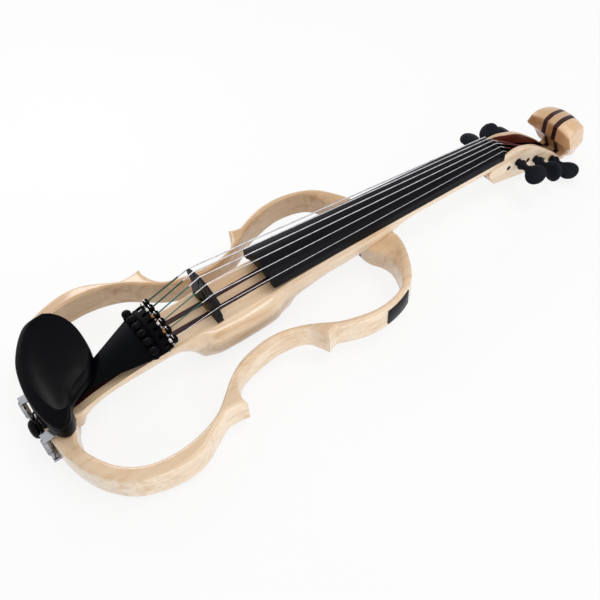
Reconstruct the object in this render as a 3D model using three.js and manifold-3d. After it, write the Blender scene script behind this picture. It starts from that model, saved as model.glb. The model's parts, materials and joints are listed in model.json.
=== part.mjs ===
// Six-string electric violin: a laminated centre bar with a carved belly runs from the tail
// to the scroll, an open violin-shaped rim stands round it, and the fittings hold and tune
// the strings. Millimetres. X runs from the tail to the scroll, Y to the bass side and Z up
// to the strings. The origin is on the flat back, under the bridge.
import * as THREE from "three";
import { mergeVertices } from "three/addons/utils/BufferGeometryUtils.js";
import Module from "manifold-3d";

const wasm = await Module();
wasm.setup();

// Clearances shared by the whole instrument.
const touchGap = 0.3;
const turningGap = 0.35;
const overrun = 6;
const weld = 1e-4;

// Rim and body.
const bodyTail = -161.5;
const bodyLength = 351.5;
const rimHeight = 26;
const lowerHalf = 106.3;
const waistHalf = 53.2;
const upperHalf = 86;
const lowerRimWidth = 14.2;
const waistRimWidth = 6.5;
const upperRimWidth = 6.8;
const rimStep = 6;
const neckBlockHalf = 23;
const tailBlockHalf = 18;

// Centre bar and belly.
const beamTop = 41.3;
const beamHalf = 20.6;
const bellyHalf = 29.2;
const coreHalf = 4;
const stripeWidth = 5.25;
const sectionSteps = 4;
const stationSteps = 2;

// Fingerboard and neck.
const boardEnd = 52.6;
const nutX = 326;
const boardEndHalf = 23.4;
const nutHalf = 16;
const boardSide = 8.2;
const boardEndUnder = 47.8;
const nutUnder = 28.5;
const boardEndArch = 7;
const nutArch = 3;
const boardHollow = 4.5;
const boardHollowEnd = 150;
const boardArcSteps = 12;
const neckDepth = 11.8;
const neckBackHalf = 5;

// Pegbox and scroll.
const pegboxHalf = 15.6;
const pegboxFloor = 3.2;
const cavityHalf = 10;
const cavityNutHalf = 13.4;
const headEnd = 428;
const headDrop = 24;
const throatLap = 9;
const scrollFront = 415;
const scrollBack = 446.5;
const scrollTop = 20.4;
const scrollHalf = 31;
const scrollDepth = 21;

// Nut, bridge and pickup.
const nutLength = 5;
const nutSeat = 28;
const bridgeThick = 4.8;
const bridgeThin = 2.2;
const bridgeFootHalf = 20.8;
const bridgeHalf = 26.2;
const pickupHeight = 1.2;
const pickupWidth = 6;

// Strings, treble to bass.
const stringDiameters = [0.5, 0.65, 0.8, 0.95, 1.15, 1.3];
const stringSides = 5;
const bridgeCrown = 75;
const bridgeDrop = 7.9;
const bridgeSpread = 25.4;
const nutCrown = 41.3;
const nutDrop = 2.7;
const nutSpread = 13.1;
const windingTurns = 3;
const windingSteps = 16;
const windingGap = 0.75;

// Pegs. Places run from the nut to the scroll on each side.
const bassPegPlaces = [[341, 12.5], [369, 7.4], [394, -6.3]];
const treblePegPlaces = [[353, 14], [380, 3.2], [407, -11.4]];
const pegTurns = [25, 78, 12, 10, -35, 40];
const pegShaft = 3.3;
const pegTaper = 0.5;
const pegCollar = 5.2;
const pegCollarStart = 20;
const pegNeck = 3.4;
const pegNeckLength = 4.5;
const pegHeadRadius = 11;
const pegHeadThick = 8;
const pegSides = 12;
const roundSides = 16;

// Tailpiece with built-in fine tuners.
const tailpieceFront = -46.5;
const tailpieceBack = -150;
const tailpieceHalf = 27;
const tailpieceTailHalf = 9;
const tailpieceTop = 58;
const tailpieceTailTop = 31.5;
const tailpieceArch = 4;
const tailpieceThick = 9;
const tailSpread = 23;
const fretX = -52;
const fretHeight = 1.4;
const fretWidth = 1.6;
const leverWidth = 2.8;
const leverThick = 1.8;
const leverPivotX = -50.5;
const leverPivotDepth = 5.6;
const leverPinRadius = 0.8;
const leverPinReach = 1;
const leverReachBack = 13.5;
const leverHookX = -42.5;
const leverHookRise = 3;
const tunerX = -62;
const tunerHeadRadius = 3.9;
const tunerHeadHeight = 4.6;
const tunerShank = 1.3;
const tunerStand = 4;
const tunerSides = 12;

// End button, saddle and tail gut.
const buttonZ = 15;
const buttonRadius = 8.6;
const buttonNeck = 4.2;
const buttonNeckLength = 4;
const buttonHeadLength = 6;
const buttonPin = 3.4;
const buttonPinLength = 12;
const saddleHalf = 13;
const saddleLength = 6.5;
const saddleHeight = 4.2;
const gutRadius = 0.9;
const gutSpread = 3.4;

// Chin rest and its clamp.
const chinX = -131;
const chinY = 26;
const chinLength = 62;
const chinWidth = 110;
const chinUnder = 40.2;
const chinPlate = 3.4;
const chinDish = 5;
const chinTilt = 0.09;
const chinSteps = 40;
const chinFootWidth = 17;
const chinFootLength = 24;
const corkThick = 1.6;
const clampPlate = 1.4;
const clampPlateHalf = 4;
const clampRodRadius = 1.5;
const clampBarrelRadius = 3.7;
const clampBarrelBottom = 5;
const clampBarrelLength = 22;
const clampReach = 16;
const clampRodGrip = 7;
const keySides = 8;

// Control panel in the flat back, with the electronics above it.
const panelStart = -18.5;
const panelLength = 90;
const panelWeb = 2;
const panelHalf = 11.5;
const panelThick = 2;
const cavityTop = 31;
const cavityWall = 1.5;
const batteryLength = 48.5;
const batteryWidth = 17.5;
const batteryHeight = 26.5;
const doorThick = 1.6;
const knobRadius = 4.2;
const knobHeight = 6;
const knobPitch = 9.8;
const knobRecess = 0.6;
const jackRadius = 4.6;
const jackBore = 3.2;
const jackDepth = 26;
const boardThick = 1.6;

// Bare plate on the treble side of the upper bout.
const plateThick = 0.8;
const plateHeight = 18;
const plateShares = [0.801, 0.906];

// Outlines as shares of the body length and of the half widths that carry them.
const lowerOuterShares = [
  [0, 0], [0.001, 0.254], [0.013, 0.48], [0.041, 0.696], [0.087, 0.87], [0.141, 0.958],
  [0.203, 1], [0.255, 0.976], [0.3, 0.896], [0.34, 0.823], [0.371, 0.817], [0.399, 0.837],
];
const lowerCornerShares = [[0.399, 0.837], [0.396, 0.785], [0.4, 0.734]];
const waistOuterShares = [
  [0.4, 1.466], [0.41, 1.306], [0.428, 1.175], [0.459, 1.09], [0.505, 1.03], [0.553, 1],
  [0.596, 1.038], [0.627, 1.124], [0.642, 1.278], [0.654, 1.466],
];
const upperCornerShares = [[0.654, 0.907], [0.67, 0.877], [0.685, 0.866]];
const upperOuterShares = [
  [0.685, 0.866], [0.716, 0.922], [0.758, 0.98], [0.804, 1], [0.849, 0.98], [0.892, 0.923],
  [0.929, 0.826], [0.957, 0.674], [0.98, 0.5], [0.994, 0.32], [1, 0],
];
const lowerInnerShares = [
  [0.083, 0.174], [0.064, 0.25], [0.05, 0.358], [0.046, 0.461], [0.058, 0.612], [0.087, 0.798],
  [0.127, 0.928], [0.175, 0.99], [0.232, 1], [0.289, 0.958], [0.334, 0.883], [0.374, 0.76],
];
const waistInnerShares = [
  [0.408, 1.289], [0.448, 1.122], [0.488, 1.041], [0.531, 1], [0.573, 1.028], [0.613, 1.12],
];
const upperInnerShares = [
  [0.653, 0.745], [0.702, 0.88], [0.752, 0.958], [0.801, 1], [0.85, 0.982], [0.892, 0.907],
  [0.917, 0.758], [0.932, 0.556], [0.927, 0.404], [0.909, 0.265],
];

// Stations of the centre bar: place along the body, top, half width of the top, bulge towards
// the belly's half width, height of the widest line, half width of the back, height of the back.
const barStationShares = [
  [0.047, 0.61, 0.63, 0.12, 0.34, 0.44, 0.1],
  [0.078, 0.63, 0.73, 0.29, 0.48, 0.58, 0.1],
  [0.095, 0.66, 0.78, 0.14, 0.59, 0.44, 0.29],
  [0.112, 0.7, 0.78, 0.07, 0.64, 0.39, 0.39],
  [0.138, 0.75, 0.78, 0.05, 0.7, 0.34, 0.47],
  [0.175, 0.8, 0.78, 0.02, 0.75, 0.32, 0.51],
  [0.232, 0.87, 0.79, 0.03, 0.81, 0.32, 0.52],
  [0.289, 0.94, 0.85, 0.03, 0.87, 0.32, 0.54],
  [0.331, 0.98, 0.93, 0.03, 0.92, 0.34, 0.57],
  [0.357, 1, 0.99, 0.03, 0.9, 0.36, 0.51],
  [0.383, 1, 1, 0.09, 0.77, 0.39, 0.29],
  [0.405, 1, 1, 0.14, 0.65, 0.54, 0.01],
  [0.418, 1, 1, 0.4, 0.53, 0.58, 0],
  [0.445, 1, 1, 0.83, 0.48, 0.61, 0],
  [0.516, 1, 1, 1, 0.48, 0.61, 0],
  [0.596, 1, 1, 0.86, 0.48, 0.61, 0],
  [0.63, 1, 1, 0.4, 0.53, 0.58, 0],
  [0.661, 1, 1, 0.02, 0.68, 0.56, 0.01],
  [0.681, 1, 1, 0, 0.73, 0.39, 0.12],
  [0.73, 1, 1, 0, 0.73, 0.34, 0.21],
  [0.784, 1, 1, 0, 0.73, 0.29, 0.27],
  [0.849, 1, 1, 0, 0.73, 0.29, 0.27],
];
// Neck stations: place from the last bar station to the nut, depth of the back under the
// board and half width of the back, as shares of the neck's own depth and half width.
const neckStationShares = [
  [0.06, 2.62, 1.4], [0.12, 2.55, 1.5], [0.2, 2.3, 1.5], [0.27, 1.95, 1.4], [0.33, 1.4, 1.2],
  [0.39, 1.08, 1.05], [0.46, 1, 1], [0.7, 1, 1], [0.9, 1, 1], [0.985, 1, 1],
];

// Side view of the head from the nut back to the heel, as shares of its length past the nut
// and of its drop.
const cheekTopShares = [
  [0.055, 1.37], [0.2, 1.35], [0.34, 1.17], [0.49, 0.89], [0.64, 0.44], [0.83, -0.23],
  [0.955, -0.76],
];
const heelShares = [[-0.03, 0.06], [-0.075, 0.3], [-0.125, 0.73]];

// Scroll sections: place along the scroll, height and half width of its top edge, of its
// widest line and of its underside, as shares of its length, depth and half width.
const scrollStationShares = [
  [0, 0.98, 0.84, 0.22, 1, 0.17, 0.97],
  [0.2, 1, 0.82, 0.12, 0.95, -0.17, 0.8],
  [0.36, 0.99, 0.8, 0.03, 0.91, -0.78, 0.52],
  [0.66, 0.94, 0.76, 0, 0.86, -1, 0.5],
  [0.88, 0.87, 0.72, -0.08, 0.8, -0.87, 0.5],
  [1, 0.62, 0.68, -0.1, 0.74, -0.57, 0.5],
];

// Chin rest seen from above, as shares of its length and width from its middle.
const chinOutlineShares = [
  [0.21, 0.464], [-0.02, 0.455], [-0.18, 0.382], [-0.34, 0.245], [-0.43, 0.114],
  [-0.485, -0.073], [-0.485, -0.245], [-0.452, -0.382], [-0.387, -0.491], [-0.29, -0.532],
  [-0.178, -0.505], [-0.08, -0.418], [0.08, -0.355], [0.274, -0.3], [0.403, -0.209],
  [0.484, -0.109], [0.508, 0.023], [0.5, 0.136], [0.468, 0.236], [0.403, 0.336],
  [0.315, 0.414],
];

// Finishes.
const maple = { color: 0xead3ad, roughness: 0.25, metalness: 0 };
const darkWood = { color: 0x3a2119, roughness: 0.3, metalness: 0 };
const ebony = { color: 0x26242a, roughness: 0.45, metalness: 0 };
const blackLacquer = { color: 0x15151a, roughness: 0.3, metalness: 0 };
const bridgeBlack = { color: 0x2a2c2f, roughness: 0.5, metalness: 0 };
const blackPlastic = { color: 0x202226, roughness: 0.5, metalness: 0 };
const chrome = { color: 0xc8cacc, roughness: 0.15, metalness: 1 };
const steel = { color: 0xb4b6b8, roughness: 0.3, metalness: 1 };
const cork = { color: 0x9a6b42, roughness: 0.9, metalness: 0 };
const batteryWrap = { color: 0x3b3d40, roughness: 0.4, metalness: 0.2 };
const circuitGreen = { color: 0x1f5b3a, roughness: 0.6, metalness: 0 };
const brass = { color: 0xb08d4a, roughness: 0.35, metalness: 1 };

const group = new THREE.Group();

const vec = (x, y, z) => new THREE.Vector3(x, y, z);
const flat = (x, y) => new THREE.Vector2(x, y);
const mirrored = (points) => points.map((p) => flat(p.x, -p.y)).reverse();

// Turns a closed geometry into a solid: shared corners are joined, slivers are dropped, and a
// shape whose faces point inwards is turned round.
function solid(geometry) {
  const plain = geometry.index ? geometry.toNonIndexed() : geometry.clone();
  for (const name of Object.keys(plain.attributes)) {
    if (name !== "position") plain.deleteAttribute(name);
  }
  const merged = mergeVertices(plain, weld);
  const corners = [];
  const index = merged.index.array;
  for (let i = 0; i < index.length; i += 3) {
    const [a, b, c] = [index[i], index[i + 1], index[i + 2]];
    if (a !== b && b !== c && c !== a) corners.push(a, b, c);
  }
  const vertProperties = Float32Array.from(merged.attributes.position.array);
  const corner = (i) => new THREE.Vector3().fromArray(vertProperties, 3 * corners[i]);
  let volume = 0;
  for (let i = 0; i < corners.length; i += 3) {
    volume += corner(i).dot(corner(i + 1).cross(corner(i + 2)));
  }
  if (volume < 0) corners.reverse();
  const triVerts = Uint32Array.from(corners);
  return new wasm.Manifold(new wasm.Mesh({ numProp: 3, vertProperties, triVerts }));
}

// Adds a named piece, given as a solid or as a closed geometry.
function piece(name, shape, finish) {
  const body = shape instanceof THREE.BufferGeometry ? solid(shape) : shape;
  const { vertProperties, triVerts } = body.getMesh();
  const geometry = new THREE.BufferGeometry();
  geometry.setAttribute("position", new THREE.BufferAttribute(vertProperties, 3));
  geometry.setIndex(new THREE.BufferAttribute(triVerts, 1));
  geometry.computeVertexNormals();
  const mesh = new THREE.Mesh(geometry, new THREE.MeshStandardMaterial(finish));
  mesh.name = name;
  group.add(mesh);
  return mesh;
}

// Skins a row of rings that all have the same number of points, and closes both ends.
function skin(rings) {
  const count = rings[0].length;
  const points = rings.flat();
  const index = [];
  for (let r = 0; r + 1 < rings.length; r++) {
    for (let i = 0; i < count; i++) {
      const j = (i + 1) % count;
      const [a, b] = [r * count + i, r * count + j];
      index.push(a, b, b + count, a, b + count, a + count);
    }
  }
  for (const last of [false, true]) {
    const start = last ? (rings.length - 1) * count : 0;
    const middle = vec(0, 0, 0);
    for (let i = 0; i < count; i++) middle.addScaledVector(points[start + i], 1 / count);
    points.push(middle);
    const hub = points.length - 1;
    for (let i = 0; i < count; i++) {
      const [a, b] = [start + i, start + ((i + 1) % count)];
      index.push(...(last ? [hub, a, b] : [hub, b, a]));
    }
  }
  const geometry = new THREE.BufferGeometry().setFromPoints(points);
  geometry.setIndex(index);
  return geometry;
}

// Box between two corners.
function box(x0, x1, y0, y1, z0, z1) {
  const geometry = new THREE.BoxGeometry(x1 - x0, y1 - y0, z1 - z0);
  return geometry.translate((x0 + x1) / 2, (y0 + y1) / 2, (z0 + z1) / 2);
}

// Outline in X and Y raised between two heights.
function prism(points, z0, z1) {
  const geometry = new THREE.ExtrudeGeometry(new THREE.Shape(points), {
    depth: z1 - z0, bevelEnabled: false,
  });
  return geometry.translate(0, 0, z0);
}

// Outline in X and Z drawn through the width between two sides.
function sidePrism(points, y0, y1) {
  const upright = points.map((p) => flat(p.x, -p.y));
  const geometry = new THREE.ExtrudeGeometry(new THREE.Shape(upright), {
    depth: y1 - y0, bevelEnabled: false,
  });
  return geometry.rotateX(-Math.PI / 2).translate(0, y0, 0);
}

// Outline in Y and Z drawn along the length between two places.
function crossPrism(points, x0, x1) {
  const geometry = new THREE.ExtrudeGeometry(new THREE.Shape(points), {
    depth: x1 - x0, bevelEnabled: false,
  });
  const turn = new THREE.Matrix4().makeBasis(vec(0, 1, 0), vec(0, 0, 1), vec(1, 0, 0));
  return geometry.applyMatrix4(turn).translate(x0, 0, 0);
}

// Rod between two places along one axis: "x", "y" or "z".
function rod(axis, radius, start, end, centre, sides) {
  const geometry = new THREE.CylinderGeometry(radius, radius, end - start, sides);
  geometry.translate(0, (start + end) / 2, 0);
  return turnTo(geometry, axis).translate(centre.x, centre.y, centre.z);
}

// Turns a shape that stands along Y to stand along the named axis.
function turnTo(geometry, axis) {
  if (axis === "x") geometry.rotateZ(-Math.PI / 2);
  if (axis === "z") geometry.rotateX(Math.PI / 2);
  return geometry;
}

// Smooth run through points of any length, with each stretch cut into equal steps.
function smoothRun(rows, steps) {
  const result = [];
  for (let i = 0; i + 1 < rows.length; i++) {
    const [p0, p1, p2, p3] = [rows[Math.max(i - 1, 0)], rows[i], rows[i + 1],
      rows[Math.min(i + 2, rows.length - 1)]];
    for (let s = 0; s < steps; s++) {
      const t = s / steps;
      result.push(p1.map((value, k) => {
        const slopeIn = (p2[k] - p0[k]) / 2;
        const slopeOut = (p3[k] - p1[k]) / 2;
        const rise = p2[k] - value;
        const cubic = slopeIn + slopeOut - 2 * rise;
        const square = 3 * rise - 2 * slopeIn - slopeOut;
        return value + t * (slopeIn + t * (square + t * cubic));
      }));
    }
  }
  result.push(rows[rows.length - 1]);
  return result;
}

// Points along a spline through shares of the body length and of one half width.
function bout(shares, half) {
  const curve = new THREE.SplineCurve(
    shares.map(([x, y]) => flat(bodyTail + x * bodyLength, y * half)),
  );
  return curve.getSpacedPoints(Math.max(2, Math.round(curve.getLength() / rimStep)));
}

const joinRuns = (...runs) => runs.flatMap((run, i) => (i ? run.slice(1) : run));

// Rim: the outer outline, with one opening from the tail block to the neck block.
const upperOuter = bout(upperOuterShares, upperHalf);
const outerSide = joinRuns(
  bout(lowerOuterShares, lowerHalf),
  bout(lowerCornerShares, lowerHalf),
  bout(waistOuterShares, waistHalf),
  bout(upperCornerShares, upperHalf),
  upperOuter,
);
const innerShares = [
  ...lowerInnerShares.map(([x, y]) => [x, y * (lowerHalf - lowerRimWidth)]),
  ...waistInnerShares.map(([x, y]) => [x, y * (waistHalf - waistRimWidth)]),
  ...upperInnerShares.map(([x, y]) => [x, y * (upperHalf - upperRimWidth)]),
];
const innerSide = bout(innerShares, 1);
const wholeOutline = [...outerSide.slice(0, -1), ...mirrored(outerSide).slice(0, -1)];
const wholeOpening = [...innerSide, ...mirrored(innerSide)];
const rim = solid(prism(wholeOutline, 0, rimHeight)).subtract(
  solid(prism(wholeOpening, -overrun, rimHeight + overrun)),
);

// Height of the board's underside and its half width at a place along the neck.
const boardShare = (x) => (x - boardEnd) / (nutX - boardEnd);
const boardUnder = (x) => THREE.MathUtils.lerp(boardEndUnder, nutUnder, boardShare(x));
const boardHalf = (x) => THREE.MathUtils.lerp(boardEndHalf, nutHalf, boardShare(x));

// Section of the bar: a flat top, sides that swell to the widest line, and a rounded back.
function barSection([x, top, topHalf, wide, wideZ, backHalf, back]) {
  const side = [vec(x, topHalf, top)];
  for (let i = 1; i <= sectionSteps; i++) {
    const turn = (i / sectionSteps) * Math.PI / 2;
    const y = topHalf + (wide - topHalf) * Math.sin(turn);
    side.push(vec(x, y, wideZ + (top - wideZ) * Math.cos(turn)));
  }
  for (let i = 1; i <= sectionSteps; i++) {
    const turn = (i / sectionSteps) * Math.PI / 2;
    const y = backHalf + (wide - backHalf) * Math.cos(turn);
    side.push(vec(x, y, wideZ - (wideZ - back) * Math.sin(turn)));
  }
  return [...side, ...side.map((p) => vec(p.x, -p.y, p.z)).reverse()];
}

const barRows = barStationShares.map(([at, top, half, bulge, wideZ, backHalf, back]) => {
  const x = bodyTail + at * bodyLength;
  const topHalf = half * beamHalf;
  const wide = topHalf + bulge * (bellyHalf - beamHalf);
  return [x, top * beamTop, topHalf, wide, wideZ * beamTop, backHalf * beamHalf, back * beamTop];
});
const neckStart = barRows[barRows.length - 1][0];
const neckRows = neckStationShares.map(([at, depth, backHalf]) => {
  const x = neckStart + at * (nutX - neckStart);
  const top = boardUnder(x) - touchGap;
  const half = Math.min(boardHalf(x), beamHalf);
  const back = top - depth * neckDepth;
  return [x, top, half, half, top - neckDepth / 3, backHalf * neckBackHalf, back];
});
const barProfile = smoothRun([...barRows, ...neckRows], stationSteps).map((row) => {
  row[1] = Math.min(row[1], beamTop, boardUnder(row[0]) - touchGap);
  row[6] = Math.max(row[6], 0);
  return row;
});
const bar = solid(skin(barProfile.map(barSection)));

// Head: the pegbox in side view, hollowed between its cheeks, and the faceted scroll.
const headLength = headEnd - nutX;
const headPoint = ([x, z]) => flat(nutX + x * headLength, z * headDrop);
const nutEnd = nutX + touchGap + nutLength;
const headOutline = [
  flat(nutX - nutLength, nutSeat - touchGap),
  flat(nutX, nutSeat),
  flat(nutEnd, nutSeat),
  ...cheekTopShares.map(headPoint),
  flat(headEnd + throatLap, -headDrop * 0.6),
  flat(headEnd + throatLap, -headDrop * 0.84),
  flat(headEnd, -headDrop),
  ...heelShares.map(headPoint),
];
const floorAt = (x) => -headDrop * (x - nutX) / headLength + pegboxFloor;
const cavityStart = nutEnd + 1.2 * touchGap;
const cavitySide = [
  flat(cavityStart, floorAt(cavityStart)),
  flat(cavityStart, beamTop),
  flat(headEnd, beamTop),
  flat(headEnd - pegShaft * 4, floorAt(headEnd)),
];
const cavityPlan = [
  flat(cavityStart, -cavityNutHalf), flat(cavityStart + headLength / 4, -cavityHalf),
  flat(headEnd - 2 * pegboxFloor, -cavityHalf), flat(headEnd - 2 * pegboxFloor, cavityHalf),
  flat(cavityStart + headLength / 4, cavityHalf), flat(cavityStart, cavityNutHalf),
];
const cavity = solid(sidePrism(cavitySide, -pegboxHalf, pegboxHalf)).intersect(
  solid(prism(cavityPlan, -headDrop - overrun, beamTop + overrun)),
);
const pegbox = solid(sidePrism(headOutline, -pegboxHalf, pegboxHalf)).subtract(cavity);

const scrollRings = scrollStationShares.map(([at, top, topHalf, mid, midHalf, low, lowHalf]) => {
  const x = THREE.MathUtils.lerp(scrollFront, scrollBack, at);
  const edge = [
    [topHalf * scrollHalf, top * scrollTop],
    [midHalf * scrollHalf, mid * scrollTop],
    [lowHalf * scrollHalf, low * scrollDepth],
  ];
  const right = edge.map(([y, z]) => vec(x, y, z));
  return [...right, ...right.map((p) => vec(p.x, -p.y, p.z)).reverse()];
});
const scroll = solid(skin(scrollRings));

// Pegs: a tapered shaft through both cheeks, a collar, and an oval thumb piece.
const pegSeats = [
  ...treblePegPlaces.map(([x, z], i) => ({ x, z, side: -1, order: i })),
  ...bassPegPlaces.map(([x, z], i) => ({ x, z, side: 1, order: i })),
];
function pegShape({ x, z, side }, turn) {
  const tip = -pegboxHalf;
  const headCentre = pegCollarStart + pegNeckLength + 2 * pegNeckLength + pegHeadRadius / 2;
  const profile = [
    [0, tip], [pegShaft - pegTaper, tip], [pegShaft, -cavityHalf],
    [pegShaft, cavityHalf], [pegShaft + pegTaper, pegboxHalf],
    [pegShaft + pegTaper, pegCollarStart], [pegCollar, pegCollarStart + pegTaper],
    [pegCollar, pegCollarStart + pegNeckLength / 2], [pegNeck, pegCollarStart + pegNeckLength],
    [pegNeck, headCentre], [0, headCentre],
  ];
  const shaft = new THREE.LatheGeometry(profile.map(([r, y]) => flat(r, y)), pegSides);
  const thumb = new THREE.SphereGeometry(pegHeadRadius, pegSides, pegSides / 2);
  thumb.scale(1, 1, pegHeadThick / (2 * pegHeadRadius)).translate(0, headCentre, 0);
  const whole = [shaft, thumb].map((shape) => {
    shape.rotateY(THREE.MathUtils.degToRad(turn));
    if (side < 0) shape.rotateX(Math.PI);
    return solid(shape.translate(x, 0, z));
  });
  return whole[0].add(whole[1]);
}
const pegHole = pegShaft + pegTaper + turningGap;
const pegHoles = pegSeats.map(({ x, z }) => solid(
  rod("y", pegHole, -pegboxHalf - overrun, pegboxHalf + overrun, vec(x, 0, z), pegSides),
));

// Hollow in the bar for the electronics, with a rebate for the panel.
const panelEnd = panelStart + panelLength;
const hollowHalf = coreHalf + stripeWidth;
const hollow = solid(box(
  panelStart + cavityWall, panelEnd - cavityWall, -hollowHalf, hollowHalf, -overrun, cavityTop,
));
const rebate = solid(box(
  panelStart - touchGap, panelEnd + touchGap, -panelHalf - touchGap, panelHalf + touchGap,
  -overrun, panelThick,
));
const buttonHole = solid(rod(
  "x", buttonPin + touchGap, bodyTail - overrun, bodyTail + buttonPinLength + touchGap,
  vec(0, 0, buttonZ), roundSides,
));

// The carved body is cut into its laminations and its two rim halves along flat glue lines.
let wood = rim.add(bar).add(pegbox).add(scroll).subtract(hollow).subtract(rebate);
wood = wood.subtract(buttonHole);
for (const hole of pegHoles) wood = wood.subtract(hole);
const far = bodyLength * 2;
const slab = (y0, y1) => solid(box(-far, far, y0, y1, -far, far));
const rimRegion = (side) => {
  const tailEnd = bodyTail + bodyLength / 5;
  const neckEnd = bodyTail + bodyLength * 5 / 6;
  const points = [
    flat(-far, tailBlockHalf), flat(tailEnd, tailBlockHalf), flat(tailEnd, waistHalf * 3 / 4),
    flat(neckEnd, waistHalf * 3 / 4), flat(neckEnd, neckBlockHalf),
    flat(bodyTail + bodyLength + overrun, neckBlockHalf),
    flat(bodyTail + bodyLength + overrun, far), flat(-far, far),
  ];
  const region = side > 0 ? points : mirrored(points);
  return solid(prism(region, -far, far));
};
const stripeOuter = coreHalf + stripeWidth;
piece("centre_lamination", wood.intersect(slab(-coreHalf, coreHalf)), maple);
for (const [side, word] of [[1, "bass"], [-1, "treble"]]) {
  const [stripeA, stripeB] = [side * coreHalf, side * stripeOuter].sort((a, b) => a - b);
  piece(`${word}_dark_stripe`, wood.intersect(slab(stripeA, stripeB)), darkWood);
  const [wingA, wingB] = [side * stripeOuter, side * far].sort((a, b) => a - b);
  const wing = wood.intersect(slab(wingA, wingB));
  piece(`${word}_body_wing`, wing.subtract(rimRegion(side)), maple);
  piece(`${word}_rim`, wing.intersect(rimRegion(side)), maple);
}

// Fingerboard, arched on top and hollowed under its free end.
function boardRing(x, arch) {
  const half = boardHalf(x);
  const under = boardUnder(x);
  const ring = [vec(x, -half, under), vec(x, half, under)];
  for (let i = 0; i <= boardArcSteps; i++) {
    const t = 1 - 2 * i / boardArcSteps;
    ring.push(vec(x, half * t, under + boardSide + arch * (1 - t * t)));
  }
  return ring;
}
function hollowRing(x, depth) {
  const half = boardHalf(x) * 0.8;
  const under = boardUnder(x) - touchGap;
  const ring = [];
  for (let i = 0; i <= boardArcSteps; i++) {
    const t = 1 - 2 * i / boardArcSteps;
    ring.push(vec(x, half * t, under + depth * Math.sqrt(Math.max(0, 1 - t * t))));
  }
  ring.push(vec(x, -half, under - overrun), vec(x, half, under - overrun));
  return ring;
}
const board = solid(skin([boardRing(boardEnd, boardEndArch), boardRing(nutX, nutArch)]));
const boardCut = solid(skin([
  hollowRing(boardEnd - overrun, boardHollow + touchGap),
  hollowRing(boardHollowEnd, touchGap / 2),
]));
piece("fingerboard", board.subtract(boardCut), ebony);

// Height and sideways place of a string at the bridge, the nut and the tailpiece.
const stringShare = (i) => -1 + 2 * i / (stringDiameters.length - 1);
const widest = Math.max(...stringDiameters) / 2;
const arcTop = (half, spread, crown, drop, x) => {
  const points = [];
  for (let i = 0; i <= boardArcSteps; i++) {
    const y = half * (1 - 2 * i / boardArcSteps);
    points.push(vec(x, y, crown - drop * (y / spread) ** 2));
  }
  return points;
};

// Nut across the end of the board.
const nutRing = (x) => [
  vec(x, -nutHalf, nutSeat), vec(x, nutHalf, nutSeat),
  ...arcTop(nutHalf, nutSpread, nutCrown - widest - touchGap, nutDrop, x),
];
piece("nut", skin([nutRing(nutX + touchGap), nutRing(nutEnd)]), ebony);

// Pickup strip under the bridge, and the bridge on it.
const pickupTop = beamTop + pickupHeight;
piece("pickup", box(
  -pickupWidth / 2, pickupWidth / 2, -bridgeFootHalf, bridgeFootHalf, beamTop, pickupTop,
), brass);
const bridgeTop = bridgeCrown - widest - touchGap;
const bridgeHeight = bridgeTop - pickupTop;
const bridgeSideShares = [
  [0.95, 0.62], [0.8, 0.53], [0.7, 0.42], [0.74, 0.32], [0.83, 0.24], [0.8, 0.1],
];
const bridgeFootShares = [[0.35, 0.06], [0.28, 0.16], [0.12, 0.24]];
const bridgeEdge = (shares, side) => shares.map(
  ([y, z]) => flat(side * y * bridgeHalf, pickupTop + z * bridgeHeight),
);
const bridgeArc = arcTop(bridgeHalf, bridgeSpread, bridgeTop, bridgeDrop, 0);
const bridgeOutline = [
  ...bridgeArc.map((p) => flat(p.y, p.z)).reverse(),
  ...bridgeEdge(bridgeSideShares, 1),
  flat(bridgeFootHalf, pickupTop), flat(bridgeFootHalf / 2, pickupTop),
  ...bridgeEdge(bridgeFootShares, 1),
  ...bridgeEdge(bridgeFootShares, -1).reverse(),
  flat(-bridgeFootHalf / 2, pickupTop), flat(-bridgeFootHalf, pickupTop),
  ...bridgeEdge(bridgeSideShares, -1).reverse(),
];
const bridgeHeart = bridgeHeight / 9;
const bridgeSlot = bridgeHeight / 8;
let bridge = solid(crossPrism(bridgeOutline, -bridgeThick, bridgeThick));
bridge = bridge.intersect(solid(sidePrism([
  flat(-bridgeThick / 2, pickupTop), flat(bridgeThick / 2, pickupTop),
  flat(bridgeThin / 2, bridgeTop), flat(-bridgeThin / 2, bridgeTop),
], -bridgeHalf - overrun, bridgeHalf + overrun)));
bridge = bridge.subtract(solid(rod(
  "x", bridgeHeart, -bridgeThick, bridgeThick, vec(0, 0, pickupTop + bridgeHeight / 2), roundSides,
)));
for (const side of [1, -1]) {
  const slot = new THREE.CylinderGeometry(1, 1, 2 * bridgeThick, tunerSides);
  slot.scale(bridgeSlot / 4, 1, bridgeSlot).rotateZ(-Math.PI / 2).rotateX(side * Math.PI / 9);
  slot.translate(0, side * bridgeHalf / 4.4, pickupTop + bridgeHeight * 0.82);
  bridge = bridge.subtract(solid(slot));
}
piece("bridge", bridge, bridgeBlack);

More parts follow.
